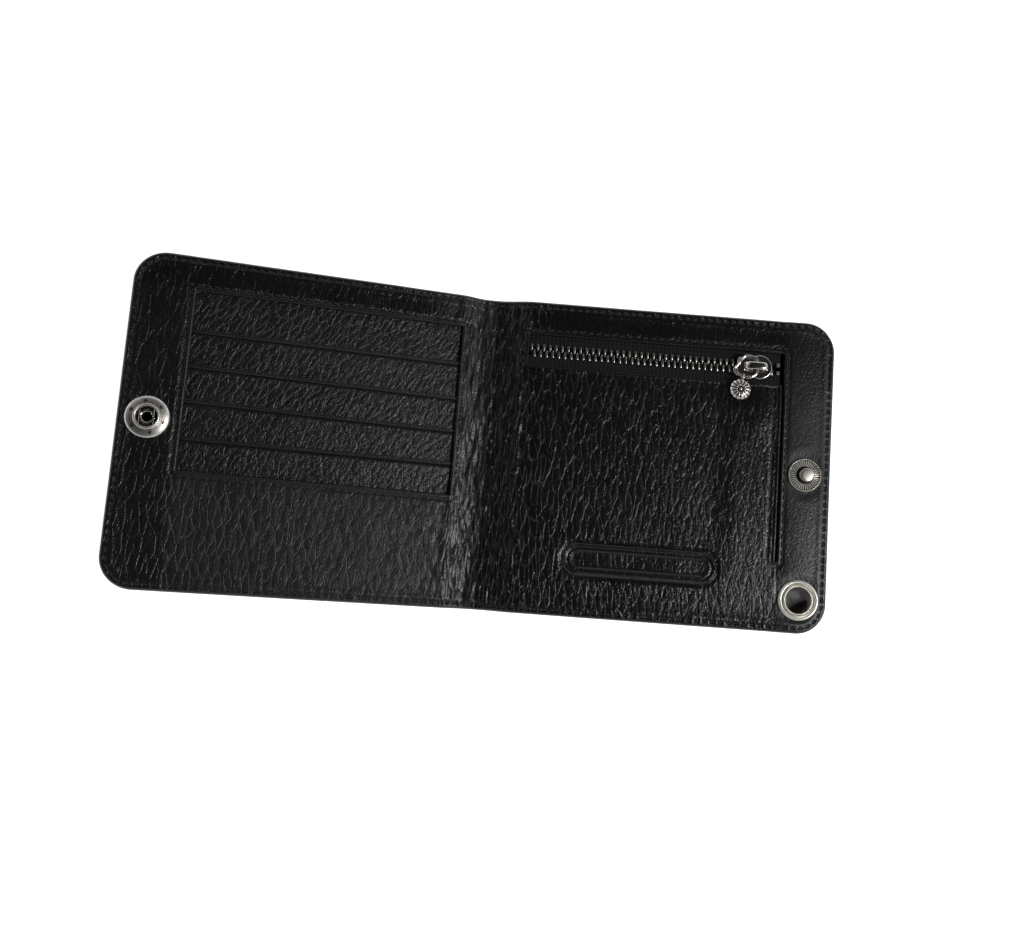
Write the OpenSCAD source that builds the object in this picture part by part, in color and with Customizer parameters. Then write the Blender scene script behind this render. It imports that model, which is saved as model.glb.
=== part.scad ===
// Folding leather chain wallet, lying open with its left leaf a little lifted.
// X runs across both leaves, Y up the folds, Z up from the surface it lies on.
// Each leaf folds about a crease at its own side of the spine.

/* [Leaves] */
// Width of each leaf, from its crease to its outer edge
leaf_w = 108.7; // [100:0.1:125]
// Height of the wallet, along the creases
leaf_h = 104; // [98:0.5:120]
// Radius of the two outer corners of each leaf
corner_r = 10; // [4:0.5:14]
// Angle by which the left leaf is lifted from the flat
lift_angle = 12; // [0:1:40]
// Gap left between the two facings when the wallet is folded shut
closed_gap = 3.4; // [3.2:0.1:6]

/* [Leather and lining] */
// Thickness of the outer cover's leather
cover_t = 1.2; // [0.8:0.1:2]
// Thickness of the lining glued inside the cover
cover_lining_t = 0.3; // [0.2:0.05:0.6]
// Room for banknotes between the cover and the inner lining, when empty
bill_gap = 0.25; // [0.2:0.05:1]
// Thickness of the lining on the inner side of the banknote pocket
bill_lining_t = 0.2; // [0.1:0.05:0.5]
// Thickness of the facing leather that frames both leaves
facing_t = 1; // [0.6:0.1:2]
// Width of the facing's turned down edge
turned_edge = 1.5; // [1:0.1:3]
// Slope worn into the facing's edge beside the crease
fold_chamfer = 1.6; // [0.5:0.1:2.4]
// Thickness of the leather over the spine, inside
spine_facing_t = 1; // [0.6:0.1:1.6]

/* [Card pockets] */
// Distance from one pocket's mouth to the next
slot_pitch = 11.3; // [9:0.1:12]
// Height of the strip above the first mouth
top_strip = 11.8; // [9:0.1:14]
// Height of the strip below the last mouth
bottom_strip = 10.5; // [8:0.1:14]
// Depth of each pocket below its mouth
pocket_depth = 45; // [36:0.5:46]
// Margin from the wallet's top edge to the card window
window_top_margin = 11.1; // [9:0.1:14]
// Margin from the outer edge to the card window
window_side_margin = 18.7; // [17:0.1:24]
// Margin from the left crease to the card window
window_fold_margin = 5.9; // [5.7:0.1:10]
// How far each pocket reaches in under the facing, at each side
pocket_tuck = 2; // [1:0.1:2.1]
// Thickness of a pocket's leather
strip_t = 0.6; // [0.4:0.05:0.7]
// Thickness of the lining that forms the hidden part of a pocket
tail_t = 0.2; // [0.1:0.05:0.25]

/* [Coin pocket] */
// Margin from the wallet's top edge to the zip's window
zip_top_margin = 11.5; // [9:0.1:14]
// Height of the window that the zip shows through
zip_window_h = 10.6; // [9.6:0.1:13]
// Margin from the right crease to the zip's window
zip_fold_margin = 5.6; // [5.4:0.1:10]
// Margin from the outer edge to the zip's window
zip_side_margin = 17.1; // [16.2:0.1:22]
// Length of the side pocket's mouth below the zip
slit_len = 59; // [40:1:62]
// Width of the side pocket's mouth
slit_w = 0.6; // [0.3:0.1:1.5]
// Thickness of the coin bag's cloth
bag_t = 0.2; // [0.1:0.05:0.4]
// Width of the coin bag below the zip
bag_w = 67.5; // [50:0.5:80]
// Distance from the coin bag to the wallet's bottom edge
bag_bottom_margin = 7; // [4:0.5:15]
// Gap of the side pocket, between the coin bag and the inner lining
side_gap = 0.15; // [0.1:0.05:1]

/* [Zip] */
// Distance from one tooth to the next on one tape
tooth_pitch = 2.05; // [1.8:0.05:2.6]
// Length of a tooth along the zip
tooth_l = 0.85; // [0.6:0.05:0.9]
// Height of a tooth
tooth_h = 2; // [1.6:0.1:2.4]
// Reach of a tooth from the zip's middle line to its tape
tooth_reach = 2; // [1.8:0.1:2.4]
// How far a tooth crosses the middle line
tooth_cross = 0.4; // [0.2:0.05:0.5]
// Thickness of the zip's tapes
tape_t = 0.5; // [0.3:0.05:0.7]
// Width from the zip's middle line to a tape's outer edge
tape_reach = 8.3; // [7.5:0.1:9]
// Thickness of the slider's wings
wing_t = 0.8; // [0.6:0.05:1]
// Running gap between the slider and the teeth
slider_run = 0.1; // [0.05:0.05:0.2]
// Radius of the slider's round shoulder
shoulder_r = 4.1; // [3.6:0.1:4.3]
// Half width of the slider's narrow tail
tail_half = 3; // [3:0.1:3.4]
// Length of the slider from the shoulder's middle to its tail
slider_tail = 7.7; // [6:0.1:10]
// Distance from the slider's shoulder to the end of the zip's window
slider_rest_gap = 4.3; // [4:0.1:8]
// Height of the crown over the slider's upper wing
crown_h = 2.25; // [2:0.05:2.6]
// Width of the crown
crown_w = 2.5; // [1.6:0.1:3]
// Thickness of the pull's flat wire
pull_t = 0.76; // [0.6:0.02:0.9]
// Radius of the ring that carries the charm, to the middle of its wire
ring_r = 1.25; // [1.25:0.05:1.35]
// Radius of that ring's wire
ring_wire_r = 0.24; // [0.15:0.01:0.26]
// Radius of the charm
charm_r = 3.5; // [2.5:0.1:3.6]
// Thickness of the charm
charm_t = 2.6; // [1.8:0.1:2.8]

/* [Snap] */
// Distance of the snap from the leaf's outer edge
snap_edge = 9; // [8:0.1:9.5]
// Radius of the socket
socket_r = 6.5; // [6:0.1:7]
// Radius of the socket's hole
socket_hole_r = 3.15; // [2.9:0.05:3.3]
// Radius of the stud's base
stud_r = 5.6; // [5:0.1:6.2]
// Height of the stud's rim
stud_rim_h = 0.7; // [0.5:0.05:1]
// Radius of the stud's ball
ball_r = 2.25; // [2.1:0.05:2.4]
// Radius of the caps on the outside
cap_r = 6.3; // [5:0.1:7]
// Height of the caps and of the eyelet below the cover
cap_h = 1; // [0.8:0.05:1.6]
// Radius of the rivet posts
post_r = 1.6; // [1.2:0.05:1.8]

/* [Chain eyelet] */
// Radius of the eyelet's hole
eyelet_hole_r = 4.2; // [3:0.1:4.5]
// Wall of the eyelet's barrel
barrel_t = 0.45; // [0.3:0.05:0.6]
// Width of the eyelet's flange around its barrel
flange_w = 2.05; // [1.6:0.05:2.4]
// Height of the eyelet's flange
flange_h = 1; // [0.8:0.05:1.4]
// Distance of the eyelet from the leaf's outer edge
eyelet_edge_x = 9.7; // [8.5:0.1:9.9]
// Distance of the eyelet from the leaf's bottom edge
eyelet_edge_y = 10.9; // [8.5:0.1:14]

/* [Hidden] */
$fn = 64;

// Clearances
seat = 0.05;        // between a piece and what it is laid against
fold_gap = 0.3;     // between pieces that fold past each other
over = 1;           // how far a cutter runs past what it cuts

// Heights in a leaf, from the cover's underside
fold_z = cover_t + cover_lining_t;
bill_z = fold_z + bill_gap;
inner_z = bill_z + bill_lining_t;
bag_z = inner_z + side_gap;
slider_half = tooth_h / 2 + slider_run + wing_t;
facing_z = bag_z + bag_t + fold_gap + seat + slider_half + tape_t / 2;
leaf_t = facing_z + facing_t;
spine_w = 2 * (leaf_t - fold_z) + closed_gap;

// Places across a leaf, from the middle of the spine
crease_x = spine_w / 2;
half_w = crease_x + leaf_w;
spine_inner_top = inner_z + spine_facing_t;
inner_x = crease_x + spine_inner_top - fold_z + fold_gap;
snap_x = half_w - snap_edge;
eyelet_x = half_w - eyelet_edge_x;
eyelet_y = eyelet_edge_y - leaf_h / 2;

// The wallet stands on its caps, centred on the origin
rest_z = cap_h;
left_reach = crease_x + leaf_w * cos(lift_angle) + fold_z * sin(lift_angle);
spine_x = (left_reach - half_w) / 2;

// Card window and pockets
pocket_count = 4;
window_x0 = crease_x + window_fold_margin;
window_x1 = half_w - window_side_margin;
window_top = leaf_h / 2 - window_top_margin;
window_h = top_strip + (pocket_count - 1) * slot_pitch + bottom_strip;
window_bottom = window_top - window_h;
slot_gap = 0.1;
strip_top_z = facing_z - seat;
strip_drop = strip_t + slot_gap;
strip_low_z = strip_top_z - strip_drop;
tail_room = strip_low_z - strip_t - inner_z;
under_tuck = 2.5;   // how far a strip runs on under the next one

// Zip
zip_x0 = crease_x + zip_fold_margin;
zip_x1 = half_w - zip_side_margin;
zip_y = leaf_h / 2 - zip_top_margin - zip_window_h / 2;
zip_z = facing_z - tape_t / 2;
end_tuck = 1.2;     // how far the tapes and the coin bag reach past the window's ends
bag_x0 = zip_x0 - end_tuck;
bag_x1 = zip_x1 - slit_w - end_tuck / 2;
bag_y0 = bag_bottom_margin - leaf_h / 2;
bag_y1 = zip_y + tape_reach;
stop_l = 1.1;
stop_seat = bag_t + seat;
tooth_x0 = zip_x0 + tooth_l;
tooth_x1 = bag_x1 - 2 * stop_l - tooth_pitch / 2;
tooth_count = floor((tooth_x1 - tooth_x0) / tooth_pitch) + 1;

// Slider, pull and charm
slider_x = zip_x1 - slider_rest_gap - shoulder_r;
wing_top = zip_z + slider_half;
crown_back = 5.4;   // from the shoulder's middle back to the crown's end
crown_front = 2.2;
pull_x = slider_x - 1.2;
pull_z = wing_top + 1;
pull_bar_r = pull_t / 2;
pull_outline = [
  [0.38, 3.3], [-4.7, 3.85], [-6.5, 0.75], [-8.7, -1.75], [-6.8, -3.85], [-2.75, -4.8], [0.38, -3.1]
];
pull_hole = [
  [-0.38, 2.5], [-4.2, 2.95], [-5.7, 0.4], [-7.5, -1.75], [-6.5, -3], [-2.85, -3.95], [-0.38, -2.55]
];
pivot = [-4.8, -3.87];          // where the ring hangs on the pull
hang_angle = -8;                // turn of the charm from straight down
ring_drop = 0.42;               // from the pull's wire down to the ring's middle
eye_drop = ring_drop + ring_r;
charm_drop = eye_drop - 0.75 + charm_r;
eye_r = ring_wire_r + 0.2;
flute_count = 12;

// Snap
stud_floor = 0.3;
socket_h = closed_gap - stud_rim_h - fold_gap;
ball_h = closed_gap - 0.8;
neck_r = ball_r - 0.45;
spring_r = 0.22;
spring_z = socket_h - 0.6;
post_seat_r = post_r + seat;

// Eyelet
barrel_r = eyelet_hole_r + barrel_t;
flange_r = barrel_r + flange_w;

leather = [0.05, 0.05, 0.055];
cloth = [0.09, 0.09, 0.1];
zip_cloth = [0.03, 0.03, 0.035];
silver = [0.72, 0.7, 0.66];
dark_silver = [0.4, 0.39, 0.37];

// Right leaf and spine lie flat
module on_right() {
  translate([spine_x, 0, rest_z]) children();
}

// The left leaf mirrors the right one and turns about its own crease
module on_left() {
  translate([spine_x - crease_x, 0, rest_z + fold_z])
    rotate([0, lift_angle, 0])
      translate([crease_x, 0, -fold_z])
        mirror([1, 0, 0]) children();
}

// A leaf's outline: square at its fold side, round at its outer corners
module leaf_outline(x0, inset = 0) {
  x1 = half_w - inset;
  y1 = leaf_h / 2 - inset;
  r = max(corner_r - inset, 0.5);
  translate([x0, -y1]) square([x1 - r - x0, 2 * y1]);
  translate([x0, r - y1]) square([x1 - x0, 2 * (y1 - r)]);
  for (side = [-1, 1]) translate([x1 - r, side * (y1 - r)]) circle(r);
}

module layer(x0, z0, z1, inset = 0) {
  translate([0, 0, z0]) linear_extrude(z1 - z0) leaf_outline(x0, inset);
}

module spine_strip(z0, z1, gap, y_inset = 0) {
  translate([gap - crease_x, y_inset - leaf_h / 2, z0])
    cube([spine_w - 2 * gap, leaf_h - 2 * y_inset, z1 - z0]);
}

// Holes that every layer of a leaf has
module post_hole() {
  translate([snap_x, 0, -over]) cylinder(r = post_seat_r, h = leaf_t + 2 * over);
}

module barrel_hole() {
  translate([eyelet_x, eyelet_y, -over]) cylinder(r = barrel_r + seat, h = leaf_t + 2 * over);
}

module cover_layer(z0, z1) {
  difference() {
    layer(crease_x + fold_gap / 2, z0, z1);
    post_hole();
    children();
  }
}

module bill_lining_layer() {
  difference() {
    layer(inner_x, bill_z, inner_z, turned_edge + seat);
    post_hole();
    children();
  }
}

// Facing: a plate with its edge turned down onto the cover's lining,
// and open along the top, where banknotes go in
module facing_shell() {
  difference() {
    union() {
      layer(inner_x, facing_z, leaf_t);
      difference() {
        layer(inner_x, fold_z, facing_z);
        layer(inner_x - over, fold_z - over, facing_z + over, turned_edge);
      }
      translate([inner_x, turned_edge - leaf_h / 2, inner_z])
        cube([turned_edge - seat, leaf_h - 2 * turned_edge, facing_z - inner_z]);
    }
    translate([inner_x - over, leaf_h / 2 - turned_edge - seat, fold_z - over])
      cube([half_w - corner_r - inner_x, turned_edge + over, bill_gap + over]);
    translate([inner_x, -leaf_h / 2 - over, leaf_t]) rotate([-90, 0, 0])
      linear_extrude(leaf_h + 2 * over) polygon([
        [-over, -over], [fold_chamfer + over, -over], [-over, fold_chamfer + over]
      ]);
    post_hole();
  }
}

// Right leaf

module right_cover() {
  color(leather) on_right() cover_layer(0, cover_t) barrel_hole();
}

module right_cover_lining() {
  color(cloth) on_right() cover_layer(cover_t, fold_z) barrel_hole();
}

module right_bill_lining() {
  color(cloth) on_right() bill_lining_layer() barrel_hole();
}

module right_facing() {
  color(leather) on_right() difference() {
    facing_shell();
    barrel_hole();
    translate([zip_x0, zip_y - zip_window_h / 2, facing_z - over])
      cube([zip_x1 - zip_x0, zip_window_h, facing_t + 2 * over]);
    translate([zip_x1 - slit_w, zip_y - zip_window_h / 2 - slit_len, facing_z - over])
      cube([slit_w, slit_len + over, facing_t + 2 * over]);
  }
}

// Coin bag: a flat pouch, open under the zip
module bag_box(inset) {
  z1 = facing_z - inset;
  below = zip_y - tape_reach;
  translate([bag_x0 + inset, bag_y0 + inset, bag_z + inset])
    cube([bag_w - 2 * inset, below - bag_y0 + bag_t, z1 - bag_z - inset]);
  translate([bag_x0 + inset, below + inset, bag_z + inset])
    cube([bag_x1 - bag_x0 - 2 * inset, bag_y1 - below - 2 * inset, z1 - bag_z - inset]);
}

module coin_bag() {
  color(cloth) on_right() difference() {
    bag_box(0);
    bag_box(bag_t);
    translate([bag_x0 - over, zip_y - tape_reach, facing_z - tape_t])
      cube([bag_x1 - bag_x0 + 2 * over, 2 * tape_reach + over, tape_t + over]);
    translate([bag_x0 + bag_t, zip_y - tape_reach + bag_t, bag_z + bag_t])
      cube([bag_x1 - bag_x0 - 2 * bag_t, 2 * tape_reach - 2 * bag_t, facing_z]);
  }
}

module zip_tape(side) {
  y0 = side > 0 ? zip_y + tooth_reach : zip_y - tape_reach;
  color(zip_cloth) on_right() translate([bag_x0, y0, facing_z - tape_t])
    cube([bag_x1 - bag_x0, tape_reach - tooth_reach, tape_t]);
}

module zip_tape_upper() zip_tape(1);

module zip_tape_lower() zip_tape(-1);

module zip_teeth(side, shift) {
  y0 = side > 0 ? -tooth_cross : -tooth_reach;
  color(silver) on_right() for (i = [0 : tooth_count - 1])
    translate([tooth_x0 + i * tooth_pitch + shift - tooth_l / 2, zip_y + y0, zip_z - tooth_h / 2])
      cube([tooth_l, tooth_reach + tooth_cross, tooth_h]);
}

module zip_teeth_upper() zip_teeth(1, 0);

module zip_teeth_lower() zip_teeth(-1, tooth_pitch / 2);

module zip_top_stops() {
  color(silver) on_right() for (side = [-1, 1])
    translate([bag_x1 - stop_seat - stop_l, zip_y + side * (tooth_reach + 0.7) / 2 - (tooth_reach - 0.7) / 2,
               zip_z - tooth_h / 2])
      cube([stop_l, tooth_reach - 0.7, tooth_h]);
}

module zip_bottom_stop() {
  color(silver) on_right() translate([bag_x0 + stop_seat, zip_y - tooth_reach, zip_z - tooth_h / 2])
    cube([zip_x0 - bag_x0 - stop_seat - seat, 2 * tooth_reach, facing_z - zip_z + tooth_h / 2]);
}

// Close zigzag of thread across the foot of the side pocket's mouth
module slit_bar_tack() {
  tack_l = 4;
  tack_w = 1.1;
  color(leather) on_right()
    translate([zip_x1 - slit_w / 2 - tack_l / 2 - 1,
               zip_y - zip_window_h / 2 - slit_len - tack_w - seat, leaf_t])
      cube([tack_l, tack_w, 0.3]);
}

// Snap: a cap outside whose post passes through the leaf and holds the stud or the socket

module cap_profile(post_top) {
  polygon([
    [0, -cap_h], [cap_r * 0.55, -cap_h], [cap_r * 0.85, -cap_h * 0.72], [cap_r * 0.97, -cap_h * 0.35],
    [cap_r, 0], [post_r, 0], [post_r, post_top], [0, post_top]
  ]);
}

module stud_cap() {
  color(silver) on_right() translate([snap_x, 0, 0]) rotate_extrude() cap_profile(leaf_t + stud_floor + 0.5);
}

module snap_stud() {
  color(silver) on_right() translate([snap_x, 0, leaf_t]) rotate_extrude() polygon([
    [post_seat_r, 0], [stud_r - 0.1, 0], [stud_r, 0.15], [stud_r, stud_rim_h - 0.15],
    [stud_r - 0.15, stud_rim_h], [stud_r - 0.4, stud_rim_h], [stud_r - 0.55, stud_floor + 0.1],
    [neck_r + 0.75, stud_floor], [neck_r + 0.2, stud_floor + 0.25], [neck_r, stud_floor + 0.6],
    [neck_r, ball_h - 0.65], [ball_r, ball_h - 0.4], [ball_r * 0.92, ball_h - 0.18],
    [ball_r * 0.6, ball_h - 0.03], [0, ball_h], [0, stud_floor + 0.55], [post_seat_r, stud_floor + 0.55]
  ]);
}

module socket_cap() {
  rim = stud_floor + seat;
  color(dark_silver) on_left() translate([snap_x, 0, 0]) rotate_extrude() polygon([
    [0, -cap_h], [cap_r * 0.55, -cap_h], [cap_r * 0.85, -cap_h * 0.72], [cap_r * 0.97, -cap_h * 0.35],
    [cap_r, 0], [post_r, 0], [post_r, leaf_t + rim], [post_r + 0.5, leaf_t + rim],
    [post_r + 0.5, leaf_t + rim + 0.15], [post_r + 0.1, leaf_t + rim + 0.3],
    [post_r - 0.4, leaf_t + rim + 0.3], [post_r - 0.7, leaf_t + rim], [post_r - 0.7, fold_z], [0, fold_z]
  ]);
}

module snap_socket() {
  lip_r = socket_hole_r + 0.75;
  color(silver) on_left() translate([snap_x, 0, leaf_t]) rotate_extrude() polygon([
    [post_seat_r, 0], [socket_r - 0.1, 0], [socket_r, 0.15], [socket_r, 0.5], [socket_r - 0.2, 0.85],
    [socket_r - 1, 1.3], [lip_r + 0.5, socket_h - 0.65], [lip_r, socket_h - 0.5],
    [lip_r - 0.15, socket_h - 0.12], [lip_r - 0.4, socket_h], [socket_hole_r + 0.15, socket_h - 0.08],
    [socket_hole_r, socket_h - 0.25], [socket_hole_r, spring_z + spring_r + seat],
    [socket_hole_r + 0.6, spring_z + spring_r + seat], [socket_hole_r + 0.6, stud_floor],
    [post_seat_r, stud_floor]
  ]);
}

// Two wires that grip the stud's neck
module socket_spring() {
  wire_off = neck_r + spring_r + seat;
  wire_half = sqrt(pow(socket_hole_r + 0.55, 2) - pow(wire_off + spring_r, 2));
  color(silver) on_left() translate([snap_x, 0, leaf_t + spring_z]) for (side = [-1, 1])
    translate([side * wire_off, 0, 0]) rotate([90, 0, 0])
      cylinder(r = spring_r, h = 2 * wire_half, center = true);
}

// Eyelet that the chain's clip goes through

module chain_eyelet() {
  color(silver) on_right() translate([eyelet_x, eyelet_y, 0]) rotate_extrude() polygon([
    [eyelet_hole_r, 0.25 - cap_h], [barrel_r - 0.05, -cap_h], [barrel_r + 0.7, -cap_h],
    [barrel_r + 0.9, -cap_h / 2 - 0.1], [barrel_r + 0.7, -cap_h / 2], [barrel_r, -cap_h / 2], [barrel_r, leaf_t],
    [flange_r, leaf_t], [flange_r, leaf_t + flange_h * 0.25], [flange_r - 0.25, leaf_t + flange_h * 0.5],
    [flange_r - 0.75, leaf_t + flange_h * 0.6], [flange_r - 0.95, leaf_t + flange_h * 0.85],
    [flange_r - 1.35, leaf_t + flange_h], [barrel_r, leaf_t + flange_h * 0.95],
    [eyelet_hole_r + 0.12, leaf_t + flange_h * 0.8], [eyelet_hole_r, leaf_t + flange_h * 0.55]
  ]);
}

module eyelet_washer() {
  color(silver) on_right() translate([eyelet_x, eyelet_y, 0]) rotate_extrude() polygon([
    [barrel_r + seat, -cap_h / 2], [flange_r - 0.4, -cap_h / 2], [flange_r, -cap_h / 4], [flange_r, 0],
    [barrel_r + seat, 0]
  ]);
}

// Spine

module spine_cover() {
  color(leather) on_right() spine_strip(0, cover_t, fold_gap / 2);
}

module spine_cover_lining() {
  color(cloth) on_right() spine_strip(cover_t, fold_z, fold_gap / 2);
}

module spine_bill_lining() {
  color(cloth) on_right() spine_strip(bill_z, inner_z, fold_gap, turned_edge + seat);
}

module spine_facing() {
  color(leather) on_right() spine_strip(inner_z, spine_inner_top, fold_gap);
}

// Left leaf

module left_cover() {
  color(leather) on_left() cover_layer(0, cover_t);
}

module left_cover_lining() {
  color(cloth) on_left() cover_layer(cover_t, fold_z);
}

module left_bill_lining() {
  color(cloth) on_left() bill_lining_layer();
}

module left_facing() {
  color(leather) on_left() difference() {
    facing_shell();
    translate([window_x0, window_bottom, facing_z - over])
      cube([window_x1 - window_x0, window_h, facing_t + 2 * over]);
  }
}

// Height of the mouth of pocket i; pocket 0 is the backing, tucked under the facing
function mouth_y(i) = i == 0 ? window_top + pocket_tuck : window_top - top_strip - (i - 1) * slot_pitch;

// One pocket, seen from the side: a strip of leather that dips under the next one,
// and behind that a thin lining down to the pocket's bottom
module pocket_profile(i) {
  last = i == pocket_count;
  y0 = mouth_y(i);
  y1 = last ? window_bottom : mouth_y(i + 1);
  slope = strip_drop / (y0 - y1);
  y2 = y1 - under_tuck;
  z2 = strip_low_z - slope * under_tuck;
  y3 = max((i == 0 ? mouth_y(1) : y0) - pocket_depth, turned_edge + fold_gap - leaf_h / 2);
  tail_z = inner_z + i * tail_room / pocket_count + seat;
  if (last)
    polygon([
      [y0, strip_top_z], [y1, strip_low_z], [y3, strip_low_z], [y3, strip_low_z - strip_t],
      [y1, strip_low_z - strip_t], [y0, strip_top_z - strip_t]
    ]);
  else
    polygon([
      [y0, strip_top_z], [y2, z2], [y2, tail_z + tail_t], [y3, tail_z + tail_t], [y3, tail_z],
      [y2 + strip_t, tail_z], [y2 + strip_t, z2 + slope * strip_t - strip_t], [y0, strip_top_z - strip_t]
    ]);
}

module card_pocket(i) {
  x0 = window_x0 - pocket_tuck;
  x1 = window_x1 + pocket_tuck;
  color(leather) on_left() translate([x0, 0, 0]) rotate([90, 0, 90])
    linear_extrude(x1 - x0) pocket_profile(i);
}

module card_backing() card_pocket(0);

// Slider: two wings, one above and one below the tapes, with the crown on top

module wing_outline() {
  circle(shoulder_r);
  polygon([
    [0, shoulder_r], [-slider_tail + 1, tail_half], [-slider_tail, tail_half - 1],
    [-slider_tail, 1 - tail_half], [-slider_tail + 1, -tail_half], [0, -shoulder_r]
  ]);
}

module slider_wing() {
  rail_y = tooth_reach + 2 * slider_run;
  rail_h = tooth_h / 2 + slider_run - tape_t / 2 - 0.15;
  translate([0, 0, slider_half - wing_t]) linear_extrude(wing_t) wing_outline();
  for (side = [-1, 1])
    translate([0.5 - slider_tail, side * (rail_y + 0.4) - 0.4, slider_half - wing_t - rail_h])
      cube([slider_tail, 0.8, rail_h + wing_t / 2]);
}

module slider_upper_wing() {
  color(silver) on_right() translate([slider_x, zip_y, zip_z]) slider_wing();
}

module slider_lower_wing() {
  color(dark_silver) on_right() translate([slider_x, zip_y, zip_z]) mirror([0, 0, 1]) slider_wing();
}

module slider_crown() {
  slot_half = 1.15;
  color(silver) on_right() translate([slider_x, zip_y + crown_w / 2, wing_top]) rotate([90, 0, 0])
    linear_extrude(crown_w) difference() {
      polygon([
        [-crown_back, 0], [0.6 - crown_back, crown_h * 0.55], [1.8 - crown_back, crown_h * 0.95],
        [-1.2, crown_h], [crown_front - 0.9, crown_h * 0.92], [crown_front - 0.25, crown_h * 0.6],
        [crown_front, 0]
      ]);
      translate([-1.2 - slot_half, 0.3]) square([2 * slot_half, crown_h - 0.95]);
    }
}

// Pull: a flat six-sided wire loop whose straight side lies under the crown
module zip_pull() {
  color(silver) on_right() translate([pull_x, zip_y, pull_z]) {
    difference() {
      translate([0, 0, -pull_t / 2]) linear_extrude(pull_t) polygon(pull_outline);
      translate([0, 0, -pull_t]) linear_extrude(2 * pull_t) polygon(pull_hole);
      translate([-over / 2, -2.5, -pull_t]) cube([over, 5, 2 * pull_t]);
    }
    rotate([90, 0, 0]) cylinder(r = pull_bar_r, h = 5.4, center = true);
  }
}

module hang() {
  on_right() translate([pull_x + pivot[0], zip_y + pivot[1], pull_z]) rotate([0, 0, hang_angle]) children();
}

module charm_ring() {
  color(silver) hang() translate([0, -ring_drop, 0]) rotate([0, 90, 0])
    rotate_extrude() translate([ring_r, 0]) circle(ring_wire_r);
}

// Charm: a round button with grooves spreading from its middle
module charm() {
  h = charm_t / 2;
  color(silver) hang() difference() {
    translate([0, -charm_drop, 0]) rotate_extrude() polygon([
      [0, -h], [charm_r * 0.45, -h], [charm_r * 0.75, -h * 0.72], [charm_r * 0.94, -h * 0.35], [charm_r, 0],
      [charm_r * 0.94, h * 0.35], [charm_r * 0.75, h * 0.72], [charm_r * 0.45, h], [0, h]
    ]);
    translate([0, -eye_drop, -charm_t]) cylinder(r = eye_r, h = 2 * charm_t);
    translate([0, -charm_drop, h]) for (i = [0 : flute_count - 1])
      rotate([0, 90, 360 / flute_count * (i + 0.5)]) translate([0, 0, charm_r * 0.3])
        cylinder(r = 0.22, h = charm_r);
  }
}

right_cover();
right_cover_lining();
right_bill_lining();
right_facing();
coin_bag();
zip_tape_upper();
zip_tape_lower();
zip_teeth_upper();
zip_teeth_lower();
zip_top_stops();
zip_bottom_stop();
slit_bar_tack();
snap_stud();
stud_cap();
chain_eyelet();
eyelet_washer();
spine_cover();
spine_cover_lining();
spine_bill_lining();
spine_facing();
left_cover();
left_cover_lining();
left_bill_lining();
left_facing();
card_backing();
card_pocket(1);  // card_pocket_1
card_pocket(2);  // card_pocket_2
card_pocket(3);  // card_pocket_3
card_pocket(4);  // card_pocket_4
snap_socket();
socket_spring();
socket_cap();
slider_upper_wing();
slider_lower_wing();
slider_crown();
zip_pull();
charm_ring();
charm();
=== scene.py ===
import bpy
import bmesh
import math
import numpy as np
from mathutils import Matrix, Vector


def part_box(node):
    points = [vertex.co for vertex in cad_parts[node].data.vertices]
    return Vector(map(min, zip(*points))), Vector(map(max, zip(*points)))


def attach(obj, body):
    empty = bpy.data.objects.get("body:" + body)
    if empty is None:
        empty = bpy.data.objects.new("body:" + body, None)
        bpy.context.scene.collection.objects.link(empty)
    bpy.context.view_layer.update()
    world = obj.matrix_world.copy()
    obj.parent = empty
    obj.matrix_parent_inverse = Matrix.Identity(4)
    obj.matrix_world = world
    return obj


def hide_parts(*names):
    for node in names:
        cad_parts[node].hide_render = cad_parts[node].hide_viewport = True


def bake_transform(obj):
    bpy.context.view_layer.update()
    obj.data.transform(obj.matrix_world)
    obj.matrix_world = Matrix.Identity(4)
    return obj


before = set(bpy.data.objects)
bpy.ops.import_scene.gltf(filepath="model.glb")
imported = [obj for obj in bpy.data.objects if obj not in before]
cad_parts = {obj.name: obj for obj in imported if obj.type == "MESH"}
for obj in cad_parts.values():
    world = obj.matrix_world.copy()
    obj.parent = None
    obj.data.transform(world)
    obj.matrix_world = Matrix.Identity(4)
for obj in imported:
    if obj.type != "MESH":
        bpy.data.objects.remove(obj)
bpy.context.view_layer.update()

# Sizes are in millimetres, seen from the middle of the spine; a leaf's own x runs outwards
wallet = {
    "halfWidth": 114.7, "halfHeight": 52.0, "cornerRadius": 10.0, "creaseX": 6.0, "hingeZ": 1.5,
    "leafTop": 5.8, "liftAngle": 12.0, "restZ": 1.0, "bendZ": 2.5, "coverTop": 1.2, "facingThick": 1.0,
    "grainStep": 0.4, "coverStep": 0.62, "stitchInset": 1.9, "stitchPitch": 2.6, "rimStart": 0.4,
}
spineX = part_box("right_cover")[1].x * 1000 - wallet["halfWidth"]
halfW, halfH, cornerR = wallet["halfWidth"], wallet["halfHeight"], wallet["cornerRadius"]
leafTop, restZ = wallet["leafTop"], wallet["restZ"]


def addObject(name, data):
    made = bpy.data.objects.new(name, data)
    bpy.context.scene.collection.objects.link(made)
    return made


# the camera stands over the open wallet
camera = {
    "lens": 29.16, "sensor": 36, "place": (0.00304, -0.03228, 0.27811),
    "turn": (0.102379, -0.024981, 0.074178),
}
cameraData = bpy.data.cameras.new("camera")
cameraData.lens = camera["lens"]
cameraData.sensor_width = camera["sensor"]
cameraObject = addObject("camera", cameraData)
cameraObject.location = camera["place"]
cameraObject.rotation_euler = camera["turn"]
bpy.context.scene.camera = cameraObject
print("camera set")


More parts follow.
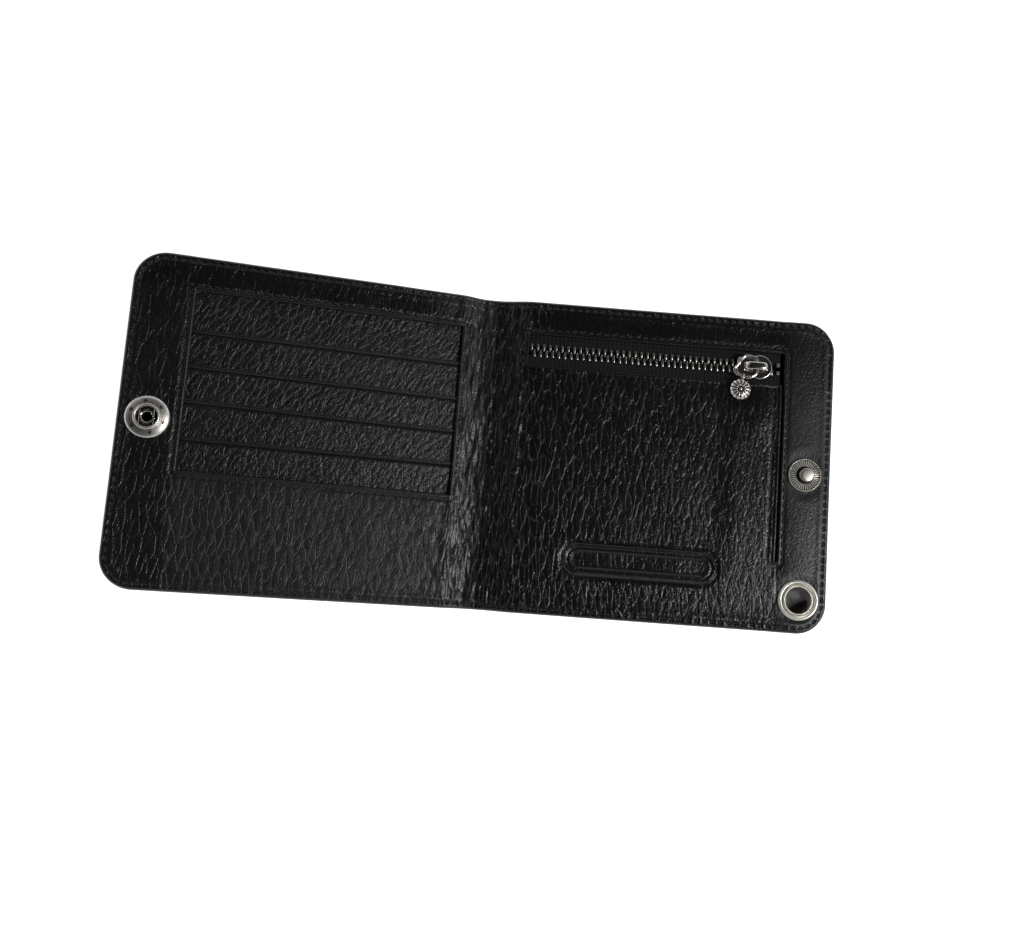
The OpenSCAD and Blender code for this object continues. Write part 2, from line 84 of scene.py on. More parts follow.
def toFrame(points, side):
    # the left leaf mirrors the right one and is lifted about its crease, softly over the spine
    out = np.array(points, float)
    if side == "left":
        share = np.clip(points[:, 0] / (2 * wallet["creaseX"]), 0, 1)
        angle = math.radians(wallet["liftAngle"]) * share * share * (3 - 2 * share)
        across = wallet["creaseX"] - points[:, 0]
        up = points[:, 2] - wallet["hingeZ"]
        out[:, 0] = across * np.cos(angle) + up * np.sin(angle) - wallet["creaseX"]
        out[:, 2] = up * np.cos(angle) - across * np.sin(angle) + wallet["hingeZ"]
    out[:, 0] += spineX
    out[:, 2] += restZ
    return out * 0.001


def grainMaps(mesh, co, grain):
    # the grain's own coordinates, and how strong its long and its fine creases are
    u, v, long, fine, matte = grain(co[:, 0], co[:, 1])
    # the grain runs on down a leaf's edge
    drop = np.clip(leafTop - 2.4 - co[:, 2], 0, 2)
    corner = np.zeros(len(mesh.loops), int)
    mesh.loops.foreach_get("vertex_index", corner)
    places = {"grain": (u + drop / 2, v + drop / 6), "plain": (co[:, 0] + drop, co[:, 1] + drop)}
    for name, place in places.items():
        uvMap = mesh.uv_layers.new(name=name)
        uvMap.uv.foreach_set("vector", np.stack(place, 1)[corner].astype(np.float32).ravel())
    for name, value in {"longCreases": long, "fineCreases": fine, "matte": matte}.items():
        values = (value + np.zeros(len(co))).astype(np.float32)
        mesh.attributes.new(name, "FLOAT", "POINT").data.foreach_set("value", values)


def makePiece(mesh, name, body, material, replaced, smoothAngle, bend=None):
    # a smooth object, sharp only where it turns steeply, that rides on a body; a piece over the spine is left
    # loose with its place baked in
    mesh.materials.append(material)
    mesh.polygons.foreach_set("use_smooth", [True] * len(mesh.polygons))
    if smoothAngle:
        mesh.set_sharp_from_angle(angle=math.radians(smoothAngle))
    mesh.update()
    piece = addObject(name, mesh)
    if bend == "right":
        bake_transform(piece)
    elif bend == "left":
        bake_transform(piece)
    else:
        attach(piece, body)
    if replaced:
        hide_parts(*replaced)
    return piece


def finishPiece(bm, name, side, material, replaced=(), body=None, smoothAngle=35, bend=False, grain=None):
    # a shape in a leaf's own millimetres becomes a piece in the frame
    mesh = bpy.data.meshes.new(name)
    bmesh.ops.recalc_face_normals(bm, faces=bm.faces)
    bm.to_mesh(mesh)
    bm.free()
    co = np.zeros(len(mesh.vertices) * 3)
    mesh.vertices.foreach_get("co", co)
    co = co.reshape(-1, 3)
    if grain:
        grainMaps(mesh, co, grain)
    mesh.vertices.foreach_set("co", toFrame(co, side).ravel())
    if side == "left":
        mesh.flip_normals()
    return makePiece(mesh, name, body or side + "_leaf", material, replaced, smoothAngle, bend and side)


# noise worked out over arrays of points
def hashed(ix, iy, seed):
    n = np.sin(ix * 127.1 + iy * 311.7 + seed * 74.7) * 43758.5453
    return n - np.floor(n)


def softNoise(x, y, seed):
    ix, iy = np.floor(x), np.floor(y)
    fx, fy = x - ix, y - iy
    fx, fy = fx * fx * (3 - 2 * fx), fy * fy * (3 - 2 * fy)
    low = hashed(ix, iy, seed) * (1 - fx) + hashed(ix + 1, iy, seed) * fx
    high = hashed(ix, iy + 1, seed) * (1 - fx) + hashed(ix + 1, iy + 1, seed) * fx
    return (low * (1 - fy) + high * fy) * 2 - 1


def layered(x, y, seed, octaves=3):
    total, size, weight = 0, 1, 1
    for octave in range(octaves):
        total = total + softNoise(x * size, y * size, seed + octave * 13) * weight
        size, weight = size * 2.03, weight * 0.5
    return total / (2 - 2 * weight)


def smoothStep(a, b, value):
    t = np.clip((value - a) / (b - a), 0, 1)
    return t * t * (3 - 2 * t)


def band(a, b, value, soft):
    return smoothStep(a - soft, a + soft, value) * (1 - smoothStep(b - soft, b + soft, value))


def line(distance, width):
    return np.exp(-(distance / width) ** 2)


def edgeDistance(x, y):
    inX, inY = halfW - x, halfH - np.abs(y)
    corner = (inX < cornerR) & (inY < cornerR)
    return np.where(corner, cornerR - np.hypot(cornerR - inX, cornerR - inY), np.minimum(inX, inY))


def boxDistance(x, y, x0, x1, y0, y1):
    # outside distance to a rectangle, negative inside
    dx, dy = np.maximum(x0 - x, x - x1), np.maximum(y0 - y, y - y1)
    return np.hypot(np.maximum(dx, 0), np.maximum(dy, 0)) + np.minimum(np.maximum(dx, dy), 0)


def rimRun(x, y):
    # distance along the rim's line of stitches, and its whole length
    r, start = cornerR - wallet["stitchInset"], wallet["rimStart"]
    straight, side, arc = halfW - cornerR - start, 2 * (halfH - cornerR), r * math.pi / 2
    cx, cy = x - halfW + cornerR, np.abs(y) - halfH + cornerR
    turn = np.arctan2(np.maximum(cx, 0), np.maximum(cy, 0))
    onSide = straight + arc + y + halfH - cornerR
    low = np.where(cx <= 0, x - start, straight + r * turn)
    past = straight + arc + side
    high = np.where(cx <= 0, straight + 2 * arc + side - cx, past + r * (math.pi / 2 - turn))
    return np.where((cx > 0) & (cy <= 0), onSide, np.where(y < 0, low, high)), 2 * straight + 2 * arc + side


def rimGroove(x, y, edge):
    # the seam's groove, deeper under each stitch than between two
    run, whole = rimRun(x, y)
    pitch = whole / (whole // wallet["stitchPitch"])
    under = smoothStep(-0.85, -0.1, -np.cos(2 * math.pi * run / pitch))
    depth = reliefPlan["groove"] + reliefPlan["grooveStitch"] * under
    return line(edge - wallet["stitchInset"], reliefPlan["grooveWidth"]) * depth


def rolled(distance, radius):
    # how far a turned edge falls away within its radius
    d = np.clip(distance, 0, radius)
    return radius - np.sqrt(np.maximum(radius ** 2 - (radius - d) ** 2, 0))


def fill(tree, node, inputs):
    # sets inputs of a node, each to a value or linked to another node's output
    for key, value in inputs.items():
        if isinstance(value, bpy.types.NodeSocket):
            tree.links.new(value, node.inputs[key])
        else:
            node.inputs[key].default_value = value


def addNode(tree, kind, inputs, out=0, **settings):
    # adds a node and gives one of its outputs
    node = tree.nodes.new(kind if "Geometry" in kind else "ShaderNode" + kind)
    for key, value in settings.items():
        setattr(node, key, value)
    fill(tree, node, inputs)
    return node.outputs[out]


def newMaterial(name, color, roughness, metallic=0.0):
    material = bpy.data.materials.new(name)
    material.use_nodes = True
    tree = material.node_tree
    shader = tree.nodes["Principled BSDF"]
    fill(tree, shader, {"Base Color": (*color, 1), "Roughness": roughness, "Metallic": metallic})
    return material, tree, shader


def noiseNode(tree, vector, scale, detail=3.0, roughness=0.55, dimensions="3D"):
    inputs = {"Scale": scale, "Detail": detail, "Roughness": roughness, "Vector": vector}
    return addNode(tree, "TexNoise", inputs, "Fac", noise_dimensions=dimensions)


def mapRange(tree, value, low, high, toLow, toHigh, kind="LINEAR"):
    inputs = {"Value": value, "From Min": low, "From Max": high, "To Min": toLow, "To Max": toHigh}
    return addNode(tree, "MapRange", inputs, "Result", interpolation_type=kind)


def times(tree, first, second):
    return addNode(tree, "Math", {0: first, 1: second}, operation="MULTIPLY")


def plus(tree, first, second):
    return addNode(tree, "Math", {0: first, 1: second}, operation="ADD")


def bumpNode(tree, height, distance, before=None):
    inputs = {"Distance": distance, "Height": height}
    if before is not None:
        inputs["Normal"] = before
    return addNode(tree, "Bump", inputs)


def mixColor(tree, factor, first, second):
    inputs = {"A": (*first, 1), "B": (*second, 1), "Factor": factor}
    return addNode(tree, "Mix", inputs, "Result", data_type="RGBA")


def warped(tree, vector, scale, amount):
    # moves a vector about by a smooth noise
    inputs = {"Scale": scale, "Detail": 2, "Vector": vector}
    noise = addNode(tree, "TexNoise", inputs, "Color", noise_dimensions="2D")
    centred = addNode(tree, "VectorMath", {0: noise, 1: (0.5, 0.5, 0.5)}, operation="SUBTRACT")
    inputs = {0: centred, 1: (amount, amount, 0), 2: vector}
    return addNode(tree, "VectorMath", inputs, operation="MULTIPLY_ADD")


def creaseNodes(tree, vector, width, seed):
    # 1 along a crease between two cells of leather, falling to 0 within a width
    moved = warped(tree, warped(tree, vector, 0.7, 0.75), 2.6, 0.08)
    turn = {"Angle": math.radians(45), "Vector": moved}
    turned = addNode(tree, "VectorRotate", turn, rotation_type="Z_AXIS")
    cell = {"Scale": 1, "Randomness": 0.8, "Vector": turned}
    cells = addNode(tree, "TexVoronoi", cell, "Distance", voronoi_dimensions="2D",
                    feature="DISTANCE_TO_EDGE")
    depth = noiseNode(tree, vector, 0.9 + seed * 0.01, 2, 0.5, "2D")
    folded = mapRange(tree, cells, 0, width, 1, 0, "SMOOTHERSTEP")
    return times(tree, folded, mapRange(tree, depth, 0.34, 0.58, 0.2, 1))


def sampled(u, v, width):
    # the same creases worked out at points, by geometry nodes
    mesh = bpy.data.meshes.new("sample")
    mesh.vertices.add(len(u))
    mesh.vertices.foreach_set("co", np.stack([u, v, np.zeros(len(u))], 1).ravel())
    piece = addObject("sample", mesh)
    tree = bpy.data.node_groups.new("sample", "GeometryNodeTree")
    for way in ("INPUT", "OUTPUT"):
        tree.interface.new_socket("Geometry", in_out=way, socket_type="NodeSocketGeometry")
    start, end = tree.nodes.new("NodeGroupInput"), tree.nodes.new("NodeGroupOutput")
    where = addNode(tree, "GeometryNodeInputPosition", {})
    inputs = {"Geometry": start.outputs[0], "Name": "value", "Value": creaseNodes(tree, where, width, 0)}
    tree.links.new(addNode(tree, "GeometryNodeStoreNamedAttribute", inputs), end.inputs[0])
    piece.modifiers.new("sample", "NODES").node_group = tree
    bpy.context.view_layer.update()
    done = piece.evaluated_get(bpy.context.evaluated_depsgraph_get())
    values = np.zeros(len(u))
    done.data.attributes["value"].data.foreach_get("value", values)
    bpy.data.objects.remove(piece)
    bpy.data.meshes.remove(mesh)
    bpy.data.node_groups.remove(tree)
    return values


def grainAt(x, y, grain):
    # how deep the creases and the soft dents beside them are
    u, v, long = grain(x, y)[:3]
    return [sampled(u, v, width) * long for width in (reliefPlan["creaseWidth"], reliefPlan["dentWidth"])]


# widths count in cells of grain; a roll is the radius at which a turned edge falls away
reliefPlan = {
    "creaseWidth": 0.16, "dentWidth": 0.45, "crease": 0.04, "dent": 0.09, "rimRoll": 1.5, "windowRoll": 0.5,
    "ridge": 0.14, "lip": 0.16, "hollow": 0.14, "fall": 2.3, "fallFrom": 0.5, "fallTo": 12.5,
    "groove": 0.08, "grooveStitch": 0.34, "grooveWidth": 0.36, "foldsFrom": 20, "foldsTo": 8,
    "coarseFolds": 0.45, "fineFolds": 0.1, "foldsDrift": 0.6,
}
# openings are (x0, x1, y0, y1), round holes (x, y, radius)
rightPlan = {
    "window": (11.6, 97.6, 29.9, 40.5), "slit": (97.0, 97.6, -29.1, 29.9), "bag": (12.0, 77.5, -44.0, 27.0),
    "panel": (27.4, 77.7, -37.8, -28.2), "frameHalf": 20, "frameRim": 4.6, "stripX": 105, "hemX": 94.2,
}
leftPlan = {"window": (11.9, 96.0, -15.3, 40.9), "mouths": (29.1, 17.8, 6.5, -4.8), "mouthTurn": 1.2}
wx0, wx1, wy0, wy1 = rightPlan["window"]
sx0, sx1, sy0, sy1 = rightPlan["slit"]
lx0, lx1, ly0, ly1 = leftPlan["window"]
snapX, eyeletX, eyeletY = 105.7, 105.0, -41.1
postHole, eyeletHole = (snapX, 0, 1.65), (eyeletX, eyeletY, 4.7)


def spineFall(x):
    # how much lower the leather lies over the spine
    return reliefPlan["fall"] * (1 - smoothStep(reliefPlan["fallFrom"], reliefPlan["fallTo"], x))


def wrinkles(x, y, seed):
    # the leather gathers into small upright folds over the spine
    near = 1 - smoothStep(reliefPlan["foldsTo"], reliefPlan["foldsFrom"], x)
    drift = reliefPlan["foldsDrift"] * layered(x / 9, y / 9, seed)
    coarse = reliefPlan["coarseFolds"] * layered(x / 1.6 + drift, y / 6, seed + 2, 2)
    return near * (coarse + reliefPlan["fineFolds"] * layered(x / 1.1, y / 2, seed + 5, 2))


def widthsAlong(x, stops, widths):
    # counts the cells passed on the way out to x, where their width changes from stop to stop
    places = np.linspace(0, 120, 1201)
    each = np.interp(places, stops, widths)
    passed = np.concatenate([[0], np.cumsum(0.1 / ((each[1:] + each[:-1]) / 2))])
    return np.interp(x, places, passed)


def frameDistance(x, y):
    # distance from the middle line of the raised frame with round ends
    px0, px1, py0, py1 = rightPlan["panel"]
    past = np.maximum(np.abs(x - (px0 + px1) / 2) - rightPlan["frameHalf"], 0)
    return np.hypot(past, y - (py0 + py1) / 2)


def clean(x, y, *boxes):
    # 0 on a turned edge, 1 in the open leather
    window = np.minimum.reduce([boxDistance(x, y, *box) for box in boxes])
    return smoothStep(0.7, 1.7, window) * smoothStep(0.5, 1.4, edgeDistance(x, y))


# stops, the width of a cell of grain at each, how much the rows lean, the noise's seed
grainPlan = {
    "right": ((0, 8, 16, 76, 84, 120), (1.3, 1.4, 1.9, 2.0, 1.8, 1.7), 0.03, 33),
    "left": ((0, 8, 14, 60, 95, 120), (1.3, 1.4, 1.7, 2.1, 2.1, 1.9), 0.025, 43),
}


def grainPlace(x, y, side, rows):
    stops, widths, lean, seed = grainPlan[side]
    u = widthsAlong(x, stops, widths) + y * lean + 0.5 * layered(x / 40, y / 30, seed, 2)
    return u, y / rows + 0.35 * layered(x / 30, y / 40, seed + 1, 2)


def rightGrain(x, y):
    nearSpine = 1 - smoothStep(8, 24, x)
    border = smoothStep(96.5, 99.5, x)
    top = smoothStep(38, 42, y) * (1 - nearSpine)
    u, v = grainPlace(x, y, "right", 6.6 - 2 * border)
    long = 1 - 0.3 * smoothStep(77, 80, x) - 0.45 * border - 0.75 * top * (1 - border)
    fine = 0.6 - 0.1 * border - 0.15 * top
    inside = frameDistance(x, y)
    onFrame = line(inside - rightPlan["frameRim"], 1.3)
    open = clean(x, y, rightPlan["window"], rightPlan["slit"])
    open = open * (1 - 0.75 * onFrame) * (0.5 + 0.5 * smoothStep(3.5, 5, inside))
    matte = 0.04 + border * (0.46 + 0.5 * band(-14, 26, y, 16))
    return u, v, np.clip(long, 0, 1) * (0.68 + 0.9 * nearSpine) * open, fine * (0.3 + 0.7 * open), matte


def leftGrain(x, y):
    nearSpine = 1 - smoothStep(7, 30, x)
    edge = smoothStep(95, 99, x)
    top = smoothStep(40, 43, y) * (1 - nearSpine)
    u, v = grainPlace(x, y, "left", 6.8)
    long = 1 - 0.6 * edge - 0.7 * top * (1 - edge)
    open = clean(x, y, leftPlan["window"])
    fine = (0.35 + 0.1 * edge + 0.15 * top) * (0.3 + 0.7 * open)
    matte = 0.75 * (1 - top) * (1 - 0.3 * nearSpine) * (1 - 0.6 * edge) + 0.05
    return u + 40, v, np.clip(long, 0, 1) * (1 + 0.7 * nearSpine) * open, fine, matte


def creased(z, x, y, grain, flat, seed):
    # sinks the creases of the grain and adds the folds over the spine
    folds, dents = grainAt(x, y, grain)
    sunk = folds * reliefPlan["crease"] + dents * reliefPlan["dent"]
    return z - sunk * flat + wrinkles(x, y, seed) * flat


def seamed(z, x, y, edge, window, seam):
    # the seams of the rim and the window with a ridge beside each, and the turned edges
    z = z - rimGroove(x, y, edge) + reliefPlan["ridge"] * line(edge - 3.3, 0.9)
    z = z - seam + reliefPlan["lip"] * line(window - 0.6, 0.35)
    z = z - reliefPlan["hollow"] * line(window - 1.15, 0.2)
    return z - rolled(edge, reliefPlan["rimRoll"]) - rolled(window, reliefPlan["windowRoll"])


def rightTop(x, y):
    edge = edgeDistance(x, y)
    window = np.minimum(boxDistance(x, y, *rightPlan["window"]), boxDistance(x, y, *rightPlan["slit"]))
    flat = smoothStep(0.2, 1.8, edge) * smoothStep(0.1, 1.2, window)
    bx0, bx1, by0, by1 = rightPlan["bag"]
    inPanel = (x < sx0 + 0.3) & (y < wy0 + 0.1)
    z = leafTop - spineFall(x) + 0.22 * layered(x / 21, y / 21, 31)
    z = z + 0.3 * smoothStep(bx0, bx0 + 8, x) * band(by0 + 3, by1 - 1, y, 4) * inPanel
    # the leaf swells a little between the pouch and the slit
    swell = 0.45 * smoothStep(bx1 - 2, bx1 + 6, x) * band(sy0 + 2, sy1 - 2, y, 12)
    z = z + (swell + 0.5 * np.exp(-((x - 90) / 5.5) ** 2 - ((y - 19) / 9) ** 2)) * inPanel
    z = z - 0.25 * line(x - rightPlan["hemX"], 0.5) * band(sy0 + 2, sy1 - 2, y, 2)
    z = creased(z, x, y, rightGrain, flat, 35)
    # a plain raised frame with round ends on the coin pocket
    inside = frameDistance(x, y)
    rim = line(inside - rightPlan["frameRim"], 0.55) + 0.6 * line(inside - 3.0, 0.4)
    z = z + 0.55 * rim - 0.5 * line(inside - 5.7, 0.5) - 0.25 * (1 - smoothStep(2.2, 2.8, inside))
    # the outer strip is plump, but for where the metal is pressed in
    pressed = smoothStep(5.5, 9.5, np.minimum(np.hypot(x - snapX, y), np.hypot(x - eyeletX, y - eyeletY)))
    z = z + 0.42 * np.clip(1 - ((x - rightPlan["stripX"]) / 7.5) ** 2, 0, 1) * pressed
    seam = 0.2 * line(boxDistance(x, y, wx0, wx1, sy0, wy1) - 1.7, 0.4)
    seam = seam * (x > wx0 - 3) * ((y > wy0) | (x > sx1))
    return seamed(z, x, y, edge, window, seam)


def leftTop(x, y):
    edge = edgeDistance(x, y)
    window = boxDistance(x, y, *leftPlan["window"])
    flat = smoothStep(0.2, 1.8, edge) * smoothStep(0.1, 1.8, window)
    z = leafTop - spineFall(x) + 0.2 * layered(x / 19, y / 19, 41)
    z = creased(z, x, y, leftGrain, flat, 45)
    return seamed(z, x, y, edge, window, 0.24 * line(window - 1.8, 0.36))


def gridLines(stops, steps):
    # places of a grid's lines: even between two stops, closer beside each
    edgeSteps = [0, 0.1, 0.28, 0.55, 0.9]
    narrow = 2.5
    places = []
    for start, end, step in zip(stops, stops[1:], steps):
        if end - start < narrow:
            places.append(start)
            continue
        inner0, inner1 = start + edgeSteps[-1], end - edgeSteps[-1]
        count = max(1, round((inner1 - inner0) / step))
        places += [start + e for e in edgeSteps[:-1]]
        places += [inner0 + (inner1 - inner0) * i / count for i in range(count + 1)]
        places += [end - e for e in edgeSteps[-2:0:-1]]
    return places + [stops[-1]]


def gridOf(xs, ys):
    bm = bmesh.new()
    bmesh.ops.create_grid(bm, x_segments=len(xs) - 1, y_segments=len(ys) - 1, size=1)
    for v in bm.verts:
        v.co.x = xs[round((v.co.x + 1) / 2 * (len(xs) - 1))]
        v.co.y = ys[round((v.co.y + 1) / 2 * (len(ys) - 1))]
    return bm


def gridSheet(xs, ys, holes, rounds=()):
    # a flat grid with its openings and round holes cut and its two outer corners rounded
    bm = gridOf(xs, ys)
    gone = []
    for face in bm.faces:
        c = face.calc_center_median()
        inHole = any(x0 < c.x < x1 and y0 < c.y < y1 for x0, x1, y0, y1 in holes)
        if inHole or any(math.hypot(c.x - x, c.y - y) < r for x, y, r in rounds):
            gone.append(face)
    bmesh.ops.delete(bm, geom=gone, context="FACES")
    for x, y, r in rounds:
        for v in bm.verts:
            away = Vector((v.co.x - x, v.co.y - y))
            if away.length < r + 1 and any(e.is_boundary for e in v.link_edges):
                v.co.x, v.co.y = x + away.x * r / away.length, y + away.y * r / away.length
    for v in bm.verts:
        u = (v.co.x - halfW + cornerR) / cornerR
        w = (abs(v.co.y) - halfH + cornerR) / cornerR
        if u > 0 and w > 0:
            shrink = max(u, w) / math.hypot(u, w)
            v.co.x = halfW - cornerR + u * shrink * cornerR
            v.co.y = math.copysign(halfH - cornerR + w * shrink * cornerR, v.co.y)
    return bm


def shapeTop(bm, height):
    co = np.array([v.co for v in bm.verts])
    for v, up in zip(bm.verts, height(co[:, 0], co[:, 1])):
        v.co.z = up


def openEdges(bm):
    return [e for e in bm.edges if e.is_boundary]


def loopsOf(edges):
    # splits boundary edges into their closed loops
    left, loops = set(edges), []
    while left:
        edge = left.pop()
        loop, front = [edge], [edge]
        while front:
            for v in front.pop().verts:
                for other in v.link_edges:
                    if other in left:
                        left.remove(other)
                        loop.append(other)
                        front.append(other)
        loops.append(loop)
    return loops


def extrudeLoop(bm, loop, move):
    # extrudes a boundary loop and moves each new point; gives the new loop
    new = bmesh.ops.extrude_edge_only(bm, edges=loop)["geom"]
    for item in new:
        if isinstance(item, bmesh.types.BMVert):
            item.co = move(item.co.copy())
    return [item for item in new if isinstance(item, bmesh.types.BMEdge)]


def lowered(z):
    return lambda co: Vector((co.x, co.y, z(co) if callable(z) else z))


def closeBelow(bm, z):
    # closes a sheet with a wall down to a height and a flat underside; gives the underside
    edge = extrudeLoop(bm, openEdges(bm), lowered(z))
    return bmesh.ops.triangle_fill(bm, edges=edge, use_beauty=True)["geom"]


def cutAcross(bm, filled, settle=None):
    # cuts wide faces into narrow strips where they bend with the spine
    for cut in range(1, 13):
        base = {f for f in filled if isinstance(f, bmesh.types.BMFace) and f.is_valid}
        edges, corners = {e for f in base for e in f.edges}, {v for f in base for v in f.verts}
        done = bmesh.ops.bisect_plane(
            bm, geom=[*base, *edges, *corners], dist=1e-5, plane_co=(cut + 0.5, 0, 0), plane_no=(1, 0, 0))
        filled = [g for g in done["geom"] if isinstance(g, bmesh.types.BMFace)]
        for item in done["geom_cut"]:
            if settle and isinstance(item, bmesh.types.BMVert):
                settle(item)


def inwards(co, depth):
    # a point on the outer outline, moved in by some depth
    x, y = co.x, co.y
    inX, inY = halfW - x, halfH - abs(y)
    if inX < cornerR and inY < cornerR:
        gone = Vector((cornerR - inX, cornerR - inY))
        gone = gone * (1 - depth / gone.length)
        return halfW - cornerR + gone.x, math.copysign(halfH - cornerR + gone.y, y)
    return (x - depth if inX < 1e-4 else x), math.copysign(min(abs(y), halfH - depth), y)


# foot: where the turned edge ends, higher along the open top where the banknotes go in
facingPlan = {"turnIn": 1.4, "foot": 1.5, "openFoot": 0.35, "openDepth": 3}


def facingLeather(name, side, material, height, grain, xs, ys, holes, rounds, replaced):
    bm = gridSheet(xs, ys, holes, rounds)
    shapeTop(bm, height)
    loops = sorted(loopsOf(openEdges(bm)), key=len)
    underside, turnIn = leafTop - wallet["facingThick"], facingPlan["turnIn"]

    def turnedZ(co):
        open = 0
        if co.y > halfH - facingPlan["openDepth"]:
            open = float(1 - smoothStep(halfW - cornerR - 1, halfW - cornerR + 3, co.x))
        return facingPlan["foot"] + facingPlan["openFoot"] * open

    def under(co):
        return underside - float(spineFall(np.array(co.x)))

    def settle(v):
        if abs(v.co.y) < halfH - turnIn - 0.1:
            v.co.z = under(v.co)

    fillLoops = [extrudeLoop(bm, loop, lowered(underside)) for loop in loops[:-1]]
    spineZ = under(Vector((0, 0, 0)))
    outer = extrudeLoop(bm, loops[-1], lowered(lambda co: spineZ if co.x < 0.01 else turnedZ(co)))
    outer = extrudeLoop(bm, outer, lambda co: Vector((*inwards(co, turnIn), co.z)))
    fillLoops.append(extrudeLoop(bm, outer, lowered(under)))
    edges = [e for loop in fillLoops for e in loop]
    cutAcross(bm, bmesh.ops.triangle_fill(bm, edges=edges, use_beauty=True)["geom"], settle)
    piece = finishPiece(bm, name, side, material, replaced, smoothAngle=50, bend=True, grain=grain)
    print(name, "has", len(piece.data.polygons), "faces")


def leatherMaterial(name, plan):
    material, tree, shader = newMaterial(name, plan["color"], 0.5)
    grained, plain = (addNode(tree, "UVMap", {}, uv_map=uvMap) for uvMap in ("grain", "plain"))
    longShare, fineShare, matte = (addNode(tree, "Attribute", {}, "Fac", attribute_name=key)
                                   for key in ("longCreases", "fineCreases", "matte"))
    long = times(tree, creaseNodes(tree, grained, plan["creaseWidth"], 0), longShare)
    inputs = {"Vector": plain, "Scale": plan["fineScale"], "Rotation": (0, 0, plan["fineTurn"])}
    finePlace = addNode(tree, "Mapping", inputs)
    fine = times(tree, creaseNodes(tree, finePlace, plan["fineWidth"], 1), fineShare)
    both = plus(tree, long, times(tree, fine, plan["fineDepth"]))
    deep = bumpNode(tree, times(tree, both, -1), plan["creaseBump"])
    pores = noiseNode(tree, plain, plan["poreScale"], 3, 0.5, "2D")
    dull = plus(tree, times(tree, both, 0.15), times(tree, matte, plan["matte"]))
    broad = noiseNode(tree, plain, 0.06, 4, 0.55, "2D")
    # the deepest creases are painted darker, as painted shade
    paintedCreaseShadeShare = mapRange(tree, both, 0.6, 1, 0, 1)
    fill(tree, shader, {
        "Normal": bumpNode(tree, pores, plan["poreBump"], deep),
        "Roughness": plus(tree, dull, mapRange(tree, broad, 0.3, 0.7, *plan["roughness"])),
        "Base Color": mixColor(tree, paintedCreaseShadeShare, plan["color"], plan["paintedCreaseShadeColor"]),
        "Specular IOR Level": plan["specular"],
    })
    return material


leatherPlan = {
    "color": (0.004, 0.0042, 0.0044), "paintedCreaseShadeColor": (0.001, 0.001, 0.0011), "roughness": (0.19, 0.25),
    "specular": 0.42, "matte": 0.24, "creaseWidth": 0.1, "creaseBump": 0.00013,
    "fineWidth": 0.17, "fineScale": (0.66, 0.44, 1), "fineTurn": 0.25, "fineDepth": 0.4,
    "poreScale": 1.5, "poreBump": 0.0001,
}
leather = leatherMaterial("blackLeather", leatherPlan)
pocketLeather = leatherMaterial("pocketLeather", {**leatherPlan, "specular": 0.34})


def clothMaterial(name, color, threads, depth, roughness=0.8):
    material, tree, shader = newMaterial(name, color, roughness)
    place = addNode(tree, "TexCoord", {}, "Object")
    inputs = {"Scale": threads, "Distortion": 0.6, "Detail Scale": 2, "Vector": place}
    waves = [addNode(tree, "TexWave", inputs, "Fac", bands_direction=way) for way in ("X", "Y")]
    weave = times(tree, *waves)
    slub = noiseNode(tree, place, 900, 3)
    shade = plus(tree, times(tree, weave, 0.6), times(tree, slub, 0.4))
    dark, pale = (tuple(c * share for c in color) for share in (0.45, 1.5))
    fill(tree, shader, {
        "Normal": bumpNode(tree, weave, depth), "Base Color": mixColor(tree, shade, dark, pale),
        "Specular IOR Level": 0.25,
    })
    return material


lining = clothMaterial("blackLining", (0.03, 0.03, 0.032), 320, 0.00005)
tapeCloth = clothMaterial("zipTape", (0.0035, 0.0035, 0.0038), 230, 0.00016)
threadMaterial = clothMaterial("blackThread", (0.022, 0.022, 0.023), 900, 0.00005, 0.55)


def metalMaterial(name, color, tarnishAndShade, roughness, bump):
    material, tree, shader = newMaterial(name, color, 0.3, 1.0)
    place = addNode(tree, "TexCoord", {}, "Object")
    smudges = noiseNode(tree, place, 420, 5, 0.65)
    specks = noiseNode(tree, place, 2400, 3, 0.6)
    worn = mapRange(tree, smudges, 0.35, 0.7, 0, 1)
    fill(tree, shader, {
        "Base Color": mixColor(tree, worn, color, tarnishAndShade), "Normal": bumpNode(tree, specks, bump),
        "Roughness": mapRange(tree, smudges, 0.3, 0.7, *roughness),
    })
    return material


# color, tarnish, lowest and highest roughness, height of the specks
metalPlan = {
    "antiqueNickel": ((0.64, 0.615, 0.575), (0.42, 0.395, 0.36), (0.1, 0.19), 0.000006),
    "satinNickel": ((0.66, 0.63, 0.58), (0.5, 0.47, 0.42), (0.3, 0.38), 0.000008),
    # nickel painted darker, as painted shade, for parts that lie inside or under others
    "paintedShadeNickel": ((0.2, 0.19, 0.175), (0.1, 0.095, 0.085), (0.3, 0.48), 0.00001),
    # near black: painted shade for bores, wells, hollows and punched marks
    "darkBore": ((0.03, 0.028, 0.026), (0.015, 0.014, 0.013), (0.45, 0.6), 0.00001),
    "toothMetal": ((0.4, 0.385, 0.36), (0.26, 0.245, 0.22), (0.26, 0.4), 0.00001),
}
metals = [metalMaterial(name, *plan) for name, plan in metalPlan.items()]
nickel, satinNickel, paintedShadeNickel, paintedShadeMetal, toothMetal = metals
print("materials made")

step = wallet["grainStep"]
facingLeather(
    "rightFacingLeather", "right", pocketLeather, rightTop, rightGrain,
    gridLines((0, wx0, sx0, sx1, halfW), (step, step, 1, 0.5)),
    gridLines((-halfH, sy0, wy0, wy1, halfH), (step, step, 1.2, 0.5)),
    (rightPlan["window"], rightPlan["slit"]), (eyeletHole, postHole), ("right_facing", "spine_facing"))
facingLeather(
    "leftFacingLeather", "left", leather, leftTop, leftGrain,
    gridLines((0, lx0, lx1, halfW), (step, 0.8, step)),
    gridLines((-halfH, ly0, ly1, halfH), (step, 0.8, step)),
    (leftPlan["window"],), (postHole,), ("left_facing",))

